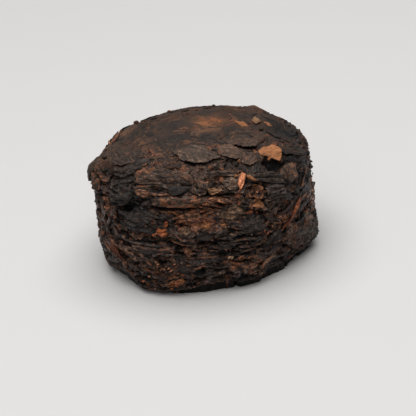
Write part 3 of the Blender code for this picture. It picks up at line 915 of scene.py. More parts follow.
        "edge": ((-1.2, 0), (-0.4, 0.3), (0.5, 0.5), (0.9, 0.2), (0.4, -0.3), (-0.8, -0.4)),
    },
    "leftTooth": {
        "at": (-149, 3), "kind": "darkLeaf", "level": 0.24, "crumple": 1, "grain": 20,
        "edge": ((-0.7, 0.4), (1.1, 0.8), (1.3, 0.3), (0.4, -0.3), (-1.6, -1)),
    },
    "leftRust": {
        "at": (-143, 2.9), "kind": "rustLeaf", "level": 0.22, "crumple": 1.2, "shade": 0.75, "grain": 20,
        "edge": ((-0.6, 0.1), (0.7, 0.6), (0.8, -0.2), (-0.6, -0.7)),
    },
    "rightStick": {
        "at": (-38, 4), "kind": "rustLeaf", "level": 0.34, "crumple": 0.5, "grain": -78, "shade": 0.85,
        "edge": ((-0.6, 1.8), (0, 1.7), (0.2, -0.3), (0.7, -1.8), (-0.2, -1.6), (-0.7, 0)),
    },
    "wornLeaf": {
        "at": (-61, 11.4), "kind": "rustLeaf", "level": 0.24, "crumple": 2.2, "shade": 0.66, "rust": 1.6,
        "grain": 60, "pleats": (1.4, 8, 0.1),
        "edge": ((-0.6, 0.6), (-0.2, 0.7), (0.5, 0.5), (0.6, 0.1), (0.3, -0.2), (0.3, -0.8), (-0.4, -0.8),
                 (-0.7, -0.3)),
    },
    "kneeLeaf": {
        "at": (-55, 5), "kind": "blackLeaf", "crumple": 0.7, "grain": 30, "shade": 1.2,
        "pleats": (1.3, 32, 0.1),
        "edge": ((-0.9, 0.1), (0.1, 0.6), (1.2, 0.8), (1.3, 0.3), (0.3, -0.3), (-0.7, -0.8), (-1.3, -0.5)),
    },
}
brightOutlines = {
    "goldenBit": {
        "at": (-91, 8.7), "kind": "tanFlake", "level": 0.3, "crumple": 2.2, "shade": 0.9, "corner": 0.12,
        "edge": ((-0.5, 0.2), (-0.1, 0.4), (0.4, 0.2), (0.3, -0.1), (0, -0.3), (-0.4, -0.1)),
    },
    "goldenBitTwo": {
        "at": (-82, 8.6), "kind": "tanFlake", "level": 0.3, "crumple": 2, "shade": 0.8, "corner": 0.12,
        "edge": ((-0.4, 0.2), (0, 0.2), (0.3, 0), (0.1, -0.2), (-0.3, -0.1)),
    },
    "orangePatch": {
        "at": (-114, 8.2), "kind": "orangeLeaf", "level": 0.34, "crumple": 2.4, "shade": 1.15, "bowl": 0.08,
        "corner": 0.12,
        "edge": ((-0.5, 0.1), (-0.3, 0.4), (0.1, 0.2), (0.4, 0.3), (0.7, 0), (0.7, -0.3), (0, -0.4),
                 (-0.5, -0.4)),
    },
    "orangeSmall": {
        "at": (-111, 9.1), "kind": "orangeLeaf", "level": 0.34, "shade": 0.98, "corner": 0.14,
        "edge": ((-0.2, 0.2), (0.1, 0.3), (0.2, 0), (0.1, -0.2), (-0.2, -0.2)),
    },
    "goldenSlip": {
        "at": (-85, 12.3), "kind": "goldenLeaf", "level": 0.36, "crumple": 2.2, "grain": -6, "corner": 0.14,
        "shade": 1.45, "pleats": (2.4, 20, 0.1),
        "edge": ((-0.7, 0.4), (-0.4, 0.2), (0, 0.3), (0.4, 0.1), (0.8, 0.2), (0.8, -0.1), (0.2, -0.3),
                 (-0.3, -0.4), (-0.6, -0.1)),
    },
    "stemRed": {
        "at": (-72, 11.7), "kind": "orangeLeaf", "level": 0.36, "crumple": 0.4, "shade": 0.5, "rough": 0.3,
        "edge": ((0.3, 0.4), (0.4, 0.3), (0.1, -0.1), (-0.1, -0.35), (-0.4, -0.35), (-0.3, -0.1)),
    },
    "tanBit": {
        "at": (-71, 13.1), "kind": "tanFlake", "level": 0.42, "crumple": 0.6, "shade": 0.85,
        "edge": ((-0.15, 0.1), (0.1, 0.2), (0.3, 0.1), (0.2, -0.15), (-0.1, -0.15)),
    },
    "backOrange": {
        "at": (13, 14.5), "kind": "tanFlake", "level": 0.09, "crumple": 1.2, "grain": 20, "corner": 0.14,
        "shade": 0.82, "fade": 0.45, "thickness": 0.06,
        "edge": ((-1.3, -0.6), (-1.1, -0.1), (-0.4, 0.2), (0.5, 0.1), (1.1, -0.3), (0.7, -0.7), (-0.1, -0.8)),
    },
    "backPale": {
        "at": (15, 14.4), "kind": "goldenLeaf", "level": 0.09, "crumple": 1.2, "shade": 0.98,
        "corner": 0.14, "fade": 0.45, "thickness": 0.06,
        "edge": ((-0.5, -0.2), (-0.9, 0.3), (-0.6, 0.7), (0.1, 0.9), (0.8, 0.4), (0.7, -0.1), (0.2, -0.3)),
    },
    "backTail": {
        "at": (13, 14.2), "kind": "tanFlake", "level": 0.09, "crumple": 1.2, "shade": 0.85, "corner": 0.14,
        "fade": 0.45, "thickness": 0.06,
        "edge": ((-0.9, -0.3), (-0.7, 0.1), (-0.2, 0.5), (0.2, 0.9), (0.8, 0.6), (0.6, 0.1), (0.1, -0.4)),
    },
    "footStick": {
        "at": (-147, 4.2), "kind": "orangeLeaf", "level": 0.38, "crumple": 1.2, "grain": -45, "shade": 0.45,
        "corner": 0.16,
        "edge": ((-1.7, 0.5), (-0.9, 1), (-0.2, 0.9), (0.4, 0.3), (1, -0.2), (1.5, -0.6), (1.3, -1),
                 (0.8, -0.9), (0.1, -0.4), (-0.6, 0), (-1.3, 0.2)),
    },
    "crumbHook": {
        "at": (-63, 10.1), "kind": "tanFlake", "crumple": 2.4, "shade": 0.62, "corner": 0.14, "rough": 1.6,
        "edge": ((-1.1, 0.3), (-0.5, 0.3), (-0.1, 0.5), (0.4, 0.5), (0.7, 0.2), (0.6, -0.3), (0.2, -0.6),
                 (-0.3, -0.3), (-0.9, 0)),
    },
    "redStick": {
        "at": (-41, 7.2), "kind": "orangeLeaf", "level": 0.48, "crumple": 0.4, "grain": 10, "shade": 0.75,
        "corner": 0.14, "rough": 0.3,
        "edge": ((1.75, 1.45), (1.86, 1.32), (0.95, 0.78), (0.2, 0.05), (-0.18, -0.42), (-0.6, -0.85),
                 (-1.65, -1.33), (-1.72, -1.25), (-0.75, -0.7), (-0.28, -0.26), (0.08, 0.22), (0.85, 0.92)),
    },
}
paleFlake = {
    "paleFlake": {
        "at": (-38, 13.7), "kind": "tanFlake", "level": 0.45, "crumple": 0.6, "grain": -35,
        "thickness": 0.14, "corner": 0.1, "rough": 0.6, "lean": (0.05, -0.12),
        "edge": ((-0.5, 1.1), (0.3, 1.1), (0.7, 0.7), (1.3, 0.5), (1.1, -0.6), (0.4, -1.2), (-0.2, -1.7),
                 (-0.4, -1.1), (-0.9, -0.2), (-1.3, 0.4)),
    },
}
pinkStem = {
    "pinkStem": {
        "at": (-68, 12.7), "kind": "pinkStalk", "level": 0.52, "crumple": 0.05, "grain": 60,
        "thickness": 0.34, "corner": 0.12, "rough": 0.15,
        "edge": ((0.3, 0.8), (0.6, 0.45), (0.3, 0), (-0.1, -0.5), (-0.6, -0.9), (-0.7, -0.35), (-0.3, 0.2)),
    },
    "sideStem": {
        "at": (-63, 12.7), "kind": "tanFlake", "level": 0.42, "crumple": 0.1, "grain": -50, "shade": 0.95,
        "corner": 0.14, "rough": 0.3,
        "edge": ((-0.2, 0.4), (0, 0.3), (0.3, -0.1), (0.4, -0.5), (0.2, -0.5), (-0.1, -0.2), (-0.3, 0.2)),
    },
}


def roundedEdge(corners, count, rounding):
    # an even row of points on a smooth closed curve through the corners
    corners = np.array(corners, float)
    after = np.roll(corners, -1, axis=0)
    pull = rounding * (after - np.roll(corners, 1, axis=0))
    nextPull = np.roll(pull, -1, axis=0)
    t = (np.arange(10) / 10)[None, :, None]
    curve = (
        (2 * t**3 - 3 * t**2 + 1) * corners[:, None] + (t**3 - 2 * t**2 + t) * pull[:, None]
        + (3 * t**2 - 2 * t**3) * after[:, None] + (t**3 - t**2) * nextPull[:, None]
    ).reshape(-1, 2)
    closed = np.concatenate([curve, curve[:1]])
    walked = np.concatenate([[0], np.cumsum(np.linalg.norm(np.diff(closed, axis=0), axis=1))])
    even = np.linspace(0, walked[-1], count + 1)[:-1]
    return np.stack([np.interp(even, walked, closed[:, axis]) for axis in range(2)], axis=-1)


def placeOutline(leaf, points):
    leaf = {**outlineDefaults, **leaf}
    ray = rayAt(*leaf["at"])[None]
    leaf["normal"], leaf["along"], leaf["sideways"] = (part[0] for part in grainFrames(ray, np.zeros(1)))
    leaf["centre"] = formPoints(ray)[0] - waistCentre
    leaf["curve"] = roundedEdge(leaf["edge"], points, leaf["corner"])
    leaf["middle"] = leaf["curve"].mean(axis=0)
    return leaf


def tuckOf(leaf, u, v):
    # 0 where the edge stands free, 1 on the opposite side
    lip = math.radians(leaf["lip"])
    across, upward = u - leaf["middle"][0], v - leaf["middle"][1]
    reach = np.hypot(across, upward) + 0.01
    return 0.5 - 0.5 * (across * math.cos(lip) + upward * math.sin(lip)) / reach


def outlineLevel(leaf, u, v):
    leanU, leanV = leaf["lean"]
    return leaf["level"] + leanU * (u - leaf["middle"][0]) + leanV * (v - leaf["middle"][1])


outlineSets = {  # leaves, material, points round the edge, rings
    "crownLeaves": (crownOutlines, leafMaterial, 80, 12),
    "sideLeaves": (sideOutlines, leafMaterial, 56, 8),
    "brightLeaves": (brightOutlines, brightMaterial, 40, 6),
    "paleFlake": (paleFlake, brightMaterial, 80, 11),
    "pinkStem": (pinkStem, brightMaterial, 64, 8),
}
outlined = {
    name: [placeOutline(leaf, points) for leaf in leaves.values()]
    for name, (leaves, _, points, _) in outlineSets.items()
}


def coverLevel(points):
    # the highest level that still passes under the outlined leaves
    flat = points.reshape(-1, 3) - waistCentre
    allowed = np.full(len(flat), 9.0)
    for leaf in outlined["crownLeaves"] + outlined["sideLeaves"]:
        normal, middle, curve = leaf["normal"], leaf["middle"], leaf["curve"]
        reach = np.linalg.norm(curve, axis=1).max() + outlineShape["search"]
        near = np.flatnonzero(np.abs(flat - leaf["centre"]).max(axis=1) < reach)
        if not len(near):
            continue
        stretch = dot(leaf["centre"], normal) / (flat[near] @ normal)
        offset = flat[near] * stretch[:, None] - leaf["centre"]
        u, v = offset @ leaf["along"], offset @ leaf["sideways"]
        shrink = 1 - outlineShape["tuck"] * tuckOf(leaf, *curve.T)
        x, y = (middle + (curve - middle) * shrink[:, None]).T
        nextX, nextY = np.roll(x, -1), np.roll(y, -1)
        crosses = (y[:, None] > v) != (nextY[:, None] > v)
        rise = np.where(nextY == y, 1e-9, nextY - y)
        atX = x[:, None] + (v - y[:, None]) / rise[:, None] * (nextX - x)[:, None]
        inside = (crosses & (u < atX)).sum(axis=0) % 2 == 1
        under = outlineShape["under"] * (1 + leaf["crumple"]) + 0.5 * max(0, leaf["bowl"])
        level = outlineLevel(leaf, u, v) - leaf["thickness"] - under
        allowed[near] = np.where(inside, np.minimum(allowed[near], level), allowed[near])
    return allowed.reshape(points.shape[:-1])


# The pressed mass: a fine closed mesh over the form, in relief
massShape = {
    "crownCells": 132, "sideRows": 106,
    "crownArc": 11.2,  # from the crown's middle to the first ring of the side
    "footRings": (0.97, 0.9, 0.76, 0.52, 0.26), "footFlat": 0.12,
    "floor": -1.15,  # deepest level between leaves
    "cleftShare": 0.5,
    "sink": 0.3,  # how far the solid's own leaves lie below the loose ones
    "warp": 0.3, "warpPitch": 0.45, "wrinkle": 0.34,
    "calmed": 0.76,  # share of the relief that the pressed crown loses
    "calmSink": 0.06,
    "hollowShadeAt": 0.16, "wornAt": 0.1,  # how far below and above its surroundings a point is darkened with painted shade, or worn
    "deepShadeAt": (0.3, 0.5),  # depth below the form where painted shade starts to darken it, and over how much more
}
massStamps = (
    {
        "seed": 21, "count": 900, "lowest": -0.93, "length": (1.6, 4.6), "shortBias": 1.3,
        "slimness": (2, 4.5), "width": (0.45, 1.5), "level": (-0.85, -0.18), "tilt": 0.5,
        "spreadSide": 18, "spreadTop": 40, "askew": 0.08,
    },
    {
        "seed": 22, "count": 1900, "lowest": -0.95, "length": (0.8, 3), "shortBias": 1.5,
        "slimness": (2.5, 6), "width": (0.22, 0.7), "level": (-0.8, -0.12), "tilt": 0.3,
        "spreadSide": 26, "spreadTop": 55, "askew": 0.14,
    },
)
massKinds = {"darkLeaf": 0.55, "brownLeaf": 0.34, "rustLeaf": 0.08, "oliveLeaf": 0.03}


def gridQuads(index):
    return np.stack([index[:-1, :-1], index[1:, :-1], index[1:, 1:], index[:-1, 1:]], axis=-1).reshape(-1, 4)


def ringQuads(upper, lower):
    return np.stack([upper, lower, np.roll(lower, -1), np.roll(upper, -1)], axis=-1)


def massGrid():
    # rays for the crown's square grid and the side's rings, the grid's quads and the rings:
    # arc lengths down the plain form from the crown give the upward angles
    angles = np.linspace(math.pi / 2, -math.pi / 2, 4001)
    line = rayTo(0, angles)
    line = line * formRadius(line)[:, None]
    arc = np.concatenate([[0], np.cumsum(np.linalg.norm(np.diff(line, axis=0), axis=-1))])
    ground = arc[np.argmax(line[:, 2] < -cakeForm["waist"])]
    cells, rows = massShape["crownCells"], massShape["sideRows"]
    across = np.linspace(-1, 1, cells + 1)
    a, b = np.meshgrid(across, across, indexing="ij")
    steep = np.abs(a) > np.abs(b)
    safeA, safeB = (np.where(part == 0, 1e-9, part) for part in (a, b))
    radius = np.where(steep, a, b)
    azimuth = np.where(steep, math.pi / 4 * b / safeA, math.pi / 2 - math.pi / 4 * a / safeB)
    azimuth = np.where(radius < 0, azimuth + math.pi, azimuth)
    rise = np.interp(np.abs(radius) * massShape["crownArc"], arc, angles)
    crown = rayTo(azimuth, rise).reshape(-1, 3)
    index = np.arange(len(crown)).reshape(cells + 1, cells + 1)
    edge = np.concatenate([index[-1, :-1], index[:0:-1, -1], index[0, :0:-1], index[:-1, 0]])
    down = np.linspace(massShape["crownArc"], ground, rows + 1)[1:, None]
    side = rayTo(np.arctan2(crown[edge, 1], crown[edge, 0]), np.interp(down, arc, angles)).reshape(-1, 3)
    rings = [edge] + [len(crown) + row * len(edge) + np.arange(len(edge)) for row in range(rows)]
    return unit(np.concatenate([crown, side])), gridQuads(index), rings


stampShape = {
    "folds": (0.6, 2.6), "foldDepth": (0.02, 0.1), "endTilt": 0.1, "skew": 0.8, "rise": (-0.02, 0.16),
    "alongPower": 2.6, "acrossPower": 2.2, "ragged": ((0.12, 5, 3), (0.08, 9, 5)), "rim": 0.05,
}


def stampLeaves(points, leaves, best, owner, firstIndex, seed):
    # lays each leaf over the mass: the highest leaf shows at each point
    draw = np.random.default_rng(seed)
    count, width = len(leaves["turn"]), leaves["width"]
    folds, phase = draw.uniform(*stampShape["folds"], count), draw.uniform(0, 6.28, count)
    foldDepth = draw.uniform(*stampShape["foldDepth"], count) * np.clip(width / 1.2, 0.4, 1.2)
    endTilt, skew = (draw.normal(0, stampShape[key], count) for key in ("endTilt", "skew"))
    middleRise = draw.uniform(*stampShape["rise"], count) * np.clip(width, 0.4, 1.2)
    frames = leafFrames(leaves)
    for one, (centre, along, sideways, half, halfWidth) in enumerate(frames):
        offset = points - centre
        near = np.flatnonzero((offset * offset).sum(axis=1) < (half * 1.15) ** 2)
        if not len(near):
            continue
        offset = offset[near]
        u, v = offset @ along / half, offset @ sideways / halfWidth
        angle, ragged = np.arctan2(v, u), 1
        for amount, lobes, shift in stampShape["ragged"]:
            ragged = ragged + amount * np.sin(lobes * angle + phase[one] * shift)
        size = np.abs(v) ** stampShape["acrossPower"] * (1 + 0.5 * u * u)
        size = np.abs(u) ** stampShape["alongPower"] + size
        level = (
            leaves["level"][one] + leaves["tilt"][one] * v / 2 + endTilt[one] * u
            + middleRise[one] * (1 - v * v)
            + foldDepth[one] * np.sin(math.pi * folds[one] * v + phase[one] + skew[one] * u)
            - stampShape["rim"] * np.clip(size - 0.7, 0, 1) / 0.3
        )
        shows = (size < ragged) & (level > best[near])
        best[near[shows]] = level[shows]
        owner[near[shows]] = firstIndex + one
    return [np.array([frame[part] for frame in frames]) for part in range(3)]


def neighbourMean(values, edges, rounds):
    ends = edges.ravel()
    count = np.bincount(ends, minlength=len(values))
    for _ in range(rounds):
        total = np.bincount(ends, values[edges[:, ::-1].ravel()], len(values))
        values = 0.5 * values + 0.5 * total / count
    return values


def makeMass():
    rays, quads, rings = massGrid()
    smooth, normals = formPoints(rays), formNormals(rays)
    places = smooth * massShape["warpPitch"]
    warp = np.stack([smoothNoise(places, 40 + axis) for axis in range(3)], axis=-1)
    warped = smooth + warp * massShape["warp"]
    sets = [solidLeafPlaces()] + [scatterLeaves(settings) for settings in massStamps]
    sets[0]["level"] = sets[0]["level"] - massShape["sink"]
    best = massShape["floor"] + 0.08 * layeredNoise(smooth * 1.7, 60)
    owner = np.zeros(len(rays), int)
    first, frames = 1, [(np.zeros((1, 3)), np.array([[1.0, 0, 0]]), np.array([[0, 1.0, 0]]))]
    for number, leaves in enumerate(sets):
        frames.append(stampLeaves(warped, leaves, best, owner, first, 70 + number))
        first += len(leaves["turn"])
    centres, along, sideways = (np.concatenate(part) for part in zip(*frames))

    def runOf(places, leafOf):
        offset = places - centres[leafOf]
        return np.stack([dot(offset, along[leafOf]), dot(offset, sideways[leafOf])], axis=-1)

    lane = np.concatenate([runOf(warped, owner) * (1.1, 3.0), owner[:, None] * 3.17], axis=1)
    wrinkle = np.abs(smoothNoise(lane, 80)) + 0.5 * np.abs(smoothNoise(lane * 2, 81)) - 0.35
    level = best + massShape["wrinkle"] * wrinkle + 0.03 * smoothNoise(smooth * 4.5, 90)
    cleft, swell = cleftDepth(smooth), swellRise(smooth)
    level = (level - cleft * massShape["cleftShare"]) * (1 - massShape["calmed"] * crownCalm(smooth))
    level = np.minimum(level, coverLevel(smooth)) + swell
    points = smooth + normals * level[:, None]
    points[:, 2] = np.maximum(points[:, 2], 0)

    # underside: rings of the foot, then its middle
    foot = rings[-1]
    points[foot, 2] = 0
    allPoints = [points]
    for share in massShape["footRings"]:
        ring = points[foot] * (share, share, 0)
        ring[:, 2] = massShape["footFlat"] * np.clip(smoothNoise(ring * 1.3, 95), 0, 1)
        rings.append(sum(map(len, allPoints)) + np.arange(len(foot)))
        allPoints.append(ring)
    points = np.concatenate([*allPoints, np.zeros((1, 3))])
    quads = np.concatenate([quads] + [ringQuads(upper, lower) for upper, lower in zip(rings[:-1], rings[1:])])
    last = rings[-1]
    fan = np.stack([last, np.full(len(last), len(points) - 1), np.roll(last, -1)], axis=-1)
    triangles = np.concatenate([splitQuads(quads), fan])

    # paint: hollows and deep places get painted shade, ridges are worn, and the highest leaf colours a
    # triangle
    extra = len(points) - len(level)
    level, cleft, swell = (np.concatenate([part, np.zeros(extra)]) for part in (level, cleft, swell))
    owner = np.concatenate([owner, np.zeros(extra, int)])
    warped = np.concatenate([warped, points[-extra:]])
    edges = np.concatenate([triangles[:, [0, 1]], triangles[:, [1, 2]], triangles[:, [2, 0]]])
    local = neighbourMean(level, np.unique(np.sort(edges, axis=1), axis=0), 10)
    hollow = ramp(local - level, 0, massShape["hollowShadeAt"])
    hollow = np.maximum(hollow, ramp(swell - level, *massShape["deepShadeAt"]))
    highest = np.argmax(level[triangles], axis=1)
    leafOf = np.repeat(owner[triangles][np.arange(len(triangles)), highest], 3)
    corner = triangles.ravel()
    run = runOf(warped[corner], leafOf) + leafMark(leafOf)
    kinds = pickKinds(len(centres), massKinds, 33)
    kinds[0] = "darkLeaf"
    tint, rust = tintsOf(kinds, 34)
    bright, rustExtra = placeTint(points)
    calm = crownCalm(points)
    mass = makePiece("pressedMass", points, triangles, leafMaterial, None, run, {
        "leafTint": evened(tint[leafOf], calm[corner]) * bright[corner],
        "rusty": rust[leafOf] + rustExtra[corner],
        "hollow": np.maximum(hollow, ramp(cleft, 0, sownClefts["cleftShadeAt"])),
        "wear": ramp(level - local, 0, massShape["wornAt"]),
        "calm": calm,
    })
    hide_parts("tea_brick")


makeMass()


# Single leaves: thin wavy solids, both faces split alike
def leafGrid(rows, columns):
    # triangles of a closed sheet, with a top and a bottom grid
    top = np.arange((rows + 1) * (columns + 1)).reshape(rows + 1, columns + 1)
    quads = [gridQuads(top)]
    for line, flip in ((top[:, 0], False), (top[:, -1], True), (top[0, :], True), (top[-1, :], False)):
        under = line + top.size
        strip = np.stack([line[:-1], under[:-1], under[1:], line[1:]], axis=-1)
        quads.append(strip[:, ::-1] if flip else strip)
    below = gridQuads(top + top.size)
    below = [below[:, [0, 2, 1]], below[:, [0, 3, 2]]]
    return np.concatenate([splitQuads(group) for group in quads] + below)


def makeLeaves(name, leaves, shape, seed):
    count, rows, columns = len(leaves["turn"]), shape["rows"], shape["columns"]
    draw = np.random.default_rng(seed)

    def each(low, high):
        return draw.uniform(low, high, count)[:, None, None]

    def overGrid(values):
        return values[:, None, None]

    _, along, sideways = grainFrames(leaves["ray"], leaves["turn"])
    centres = formPoints(leaves["ray"]) - waistCentre
    s = np.linspace(-1, 1, rows + 1)[None, :, None]
    t = np.linspace(-1, 1, columns + 1)[None, None, :]
    index = overGrid(np.arange(count)) + seed * 11.0
    crumple = overGrid(leaves["crumple"]) if "crumple" in leaves else 1.0
    length, width = overGrid(leaves["length"]), overGrid(leaves["width"])
    pressed = 1 - shape["crownPress"] * overGrid(ramp(leaves["ray"][:, 2], 0.45, 0.3))
    calm = overGrid(crownCalm(centres + waistCentre))

    # ragged outline: each long edge wanders by itself, the ends are torn
    blunt = each(*shape["blunt"])
    body = blunt + (1 - blunt) * (1 - np.abs(s) ** each(1.4, 4.0)) ** 0.6

    def wander(lane):
        fine = laneNoise(s * length / 2, index, lane + 1, 3.4)
        return 1 + shape["ragged"] * (laneNoise(s, index, lane, 1.8) + 0.7 * fine)

    halfWidth = width / 2 * body * np.where(t < 0, wander(1), wander(3))
    bow, sway = each(-1, 1) * shape["bow"], each(-1, 1) * shape["bow"] * 0.6
    u = s * length / 2 * (1 + shape["torn"] * laneNoise(t, index, 5, 2.4) * s**4)
    v = t * halfWidth + (bow * (s * s - 0.3) + sway * np.sin(math.pi * s)) * length / 2

    # level over the form: tilt, curl, folds, ripples and creases
    curl, folds, phase, drift = each(*shape["curl"]), each(*shape["folds"]), each(0, 6.28), each(-1, 1) * 1.6
    foldDepth = each(*shape["foldDepth"]) * np.clip(width / 1.4, 0.35, 1.3)
    endLift = each(-1, 1) * shape["endLift"]

    def placesAt(*parts):
        return np.stack(np.broadcast_arrays(*parts), axis=-1)

    ripple = layeredNoise(placesAt(s * length * 0.5, t * width * 0.9, index * 5.3), 7, 2)
    places = placesAt(s * length * 0.55, t * width * 1.25, index * 2.9)
    crease = np.abs(smoothNoise(places, 17)) + 0.5 * np.abs(smoothNoise(places * 2.1, 18))
    fold = np.sin(math.pi * folds * t + phase + drift * s)
    level = (
        overGrid(leaves["level"]) + overGrid(leaves["tilt"]) * t / 2
        + (endLift * s + foldDepth * fold + shape["ripple"] * ripple) * pressed - curl * t * t
        + shape["crease"] * crumple * (crease - 0.4) * (0.5 + 0.5 * pressed)
    ) * (1 - massShape["calmed"] * calm) - massShape["calmSink"] * calm
    level = np.minimum(level, shape["high"] + 0.35 * (level - shape["high"]))
    thickness = each(*shape["thickness"]) * (0.55 + 0.45 * (1 - t * t) * (1 - s**4)) * (1 - 0.4 * calm)
    u, v, level, thickness = np.broadcast_arrays(u, v, level, thickness)
    middle = overGrid(centres) + overGrid(along) * u[..., None] + overGrid(sideways) * v[..., None]
    surface, outward = formPoints(middle), formNormals(middle)
    cleft = cleftDepth(surface)
    level = np.minimum(level - cleft, coverLevel(surface)) + swellRise(surface)
    faces = [surface + outward * height[..., None] for height in (level, level - thickness)]
    points = offFloor(np.stack(faces, axis=1).reshape(count, -1, 3)).reshape(-1, 3)
    triangles = leafGrid(rows, columns)

    # paint, first the top face of each leaf and then its under face
    def both(top, bottom):
        return np.stack([top, bottom], axis=1).reshape(len(points), *top.shape[3:])

    run = np.stack([u, v], axis=-1) + leafMark(index)
    rim = np.maximum(np.abs(t) ** 6, np.abs(s) ** 10)
    wear = np.clip(rim * 0.5 + ramp(crease, 0.45, 0.3) * 0.8, 0, 1)
    # painted shade in the crease valleys and clefts, and all over the under face
    hollow = ramp(crease, 0.16, -0.16) * (1 - rim) * 0.9
    hollow = np.maximum(hollow, ramp(cleft, 0, sownClefts["cleftShadeAt"]))
    bright, rustExtra = placeTint(points)
    leafOf = np.repeat(np.arange(count), len(points) // count)
    calm = crownCalm(points)
    makePiece(
        name, points, repeated(triangles, len(points) // count, count), leafMaterial, shape["sharp"],
        both(run, run + 0.37),
        {
            "leafTint": evened(leaves["tint"][leafOf], calm) * bright,
            "rusty": leaves["rust"][leafOf] + rustExtra,
            "hollow": both(hollow, np.ones(hollow.shape)), "wear": both(wear, wear * 0.3), "calm": calm,
        },
    )


broadShape = {
    "rows": 20, "columns": 8, "blunt": (0.05, 0.55), "ragged": 0.3, "torn": 0.22, "bow": 0.14,
    "curl": (-0.1, 0.24), "folds": (0.5, 2), "foldDepth": (0.04, 0.22), "endLift": 0.12, "ripple": 0.14,
    "crease": 0.42, "thickness": (0.1, 0.2), "sharp": 35, "crownPress": 0.55,
    "high": 0.14,  # what stands higher is pressed down
}
slimShape = {**broadShape, "rows": 16, "columns": 5, "bow": 0.22, "folds": (0.3, 1.4)}
broadLeaves = {
    "seed": 31, "count": 400, "lowest": -0.86, "length": (2.2, 5.2), "shortBias": 1.3,
    "slimness": (1.8, 3.6), "width": (0.8, 2), "level": (-0.28, 0.08), "tilt": 0.5,
    "spreadSide": 16, "spreadTop": 42, "askew": 0.06, "kindSeeds": (51, 53),
    "shares": {"darkLeaf": 0.5, "brownLeaf": 0.36, "rustLeaf": 0.08, "oliveLeaf": 0.03, "blackLeaf": 0.03},
}
slimLeaves = {
    "seed": 32, "count": 430, "lowest": -0.88, "length": (1.4, 4.6), "shortBias": 1.3,
    "slimness": (3.4, 7.5), "width": (0.28, 0.85), "level": (-0.24, 0.12), "tilt": 0.3,
    "spreadSide": 18, "spreadTop": 50, "askew": 0.1, "kindSeeds": (52, 54),
    "shares": {"darkLeaf": 0.44, "brownLeaf": 0.34, "rustLeaf": 0.15, "oliveLeaf": 0.03, "blackLeaf": 0.04},
}
# Leaves that the photograph shows one by one
shownLeaves = (  # azimuth, height, turn, length, width, level, tilt, kind, crumple
    (-132, 14.5, 26, 4, 3.4, 0.05, 0.1, "brownLeaf", 0.7),
    (-140, 13.6, -90, 3, 0.9, 0.16, 0.1, "darkLeaf", 1),
    (-150, 13.7, 55, 3.8, 2.4, 0.1, 0.1, "brownLeaf", 0.8),
    (-89, 13.7, -7, 2.4, 2.2, 0.1, 0, "darkLeaf", 1.8),
    (-64, 10.9, 73, 2.9, 1.6, 0.18, 0, "brownLeaf", 1.6),
    (-129, 7.2, 10, 1.9, 0.9, 0.14, 0.1, "brownLeaf", 0.8),
    (-42, 4.6, -83, 3.4, 0.8, 0.22, 0.2, "brownLeaf", 0.8),
    (-18, 7.2, 74, 2.8, 1.2, 0.22, 0.2, "oliveLeaf", 0.8),
    (82, 14.4, 19, 3.9, 1.4, 0.16, 0.3, "darkLeaf", 0.8),
    (90, 14.6, 1, 5.1, 1.2, 0.14, 0.2, "brownLeaf", 0.8),
    (-9, 13.7, 57, 4.5, 1.8, 0.16, 0.2, "darkLeaf", 0.8),
    (-20, 12.7, -33, 4.4, 1.1, 0.2, 0.2, "darkLeaf", 0.8),
    (-153, 2.7, 33, 4, 0.9, 0.25, 0.3, "darkLeaf", 0.8),
    (-119, 5.6, 7, 5.6, 0.9, 0.16, 0.1, "darkLeaf", 0.9),
)
shown = showRows(shownLeaves, 55)


def sowClear(settings):
    # sown leaves, without those whose middle lies on a leaf that is to show
    leaves = sow(settings)
    middles = formPoints(leaves["ray"])
    free = np.ones(len(middles), bool)
    for centre, along, sideways, half, halfWidth in leafFrames(shown):
        offset = middles - centre
        u, v = offset @ along / half, offset @ sideways / (halfWidth + 0.15)
        free &= (u * u + v * v > 1) | (np.linalg.norm(offset, axis=1) > half * 2)
    return chooseLeaves(leaves, free)


broad = sowClear(broadLeaves)
broad["crumple"] = np.random.default_rng(57).uniform(0.7, 2.0, len(broad["turn"]))
broad = joinLeaves(broad, {**shown, "crumple": np.array([row[8] for row in shownLeaves])})
isDark = np.isin(broad["kind"], ("darkLeaf", "blackLeaf"))
makeLeaves("darkLeaves", chooseLeaves(broad, isDark), broadShape, 10)
makeLeaves("brownLeaves", chooseLeaves(broad, ~isDark), broadShape, 11)
makeLeaves("slimLeaves", sowClear(slimLeaves), slimShape, 2)


# Outlined leaves: rings of points from the edge to the middle, above and below
def ringTriangles(around, rings):
    # triangles of one closed leaf, its top points first
    each = around * rings + 1
    rows = np.arange(around * rings).reshape(rings, around)
    top = np.concatenate([ringQuads(outer, inner) for outer, inner in zip(rows[:-1], rows[1:])])
    fan = np.stack([rows[-1], np.roll(rows[-1], -1), np.full(around, each - 1)], axis=-1)
    top = np.concatenate([top[:, [0, 3, 2]], top[:, [0, 2, 1]], fan])
    return np.concatenate([top, top[:, ::-1] + each, splitQuads(ringQuads(rows[0], rows[0] + each))])


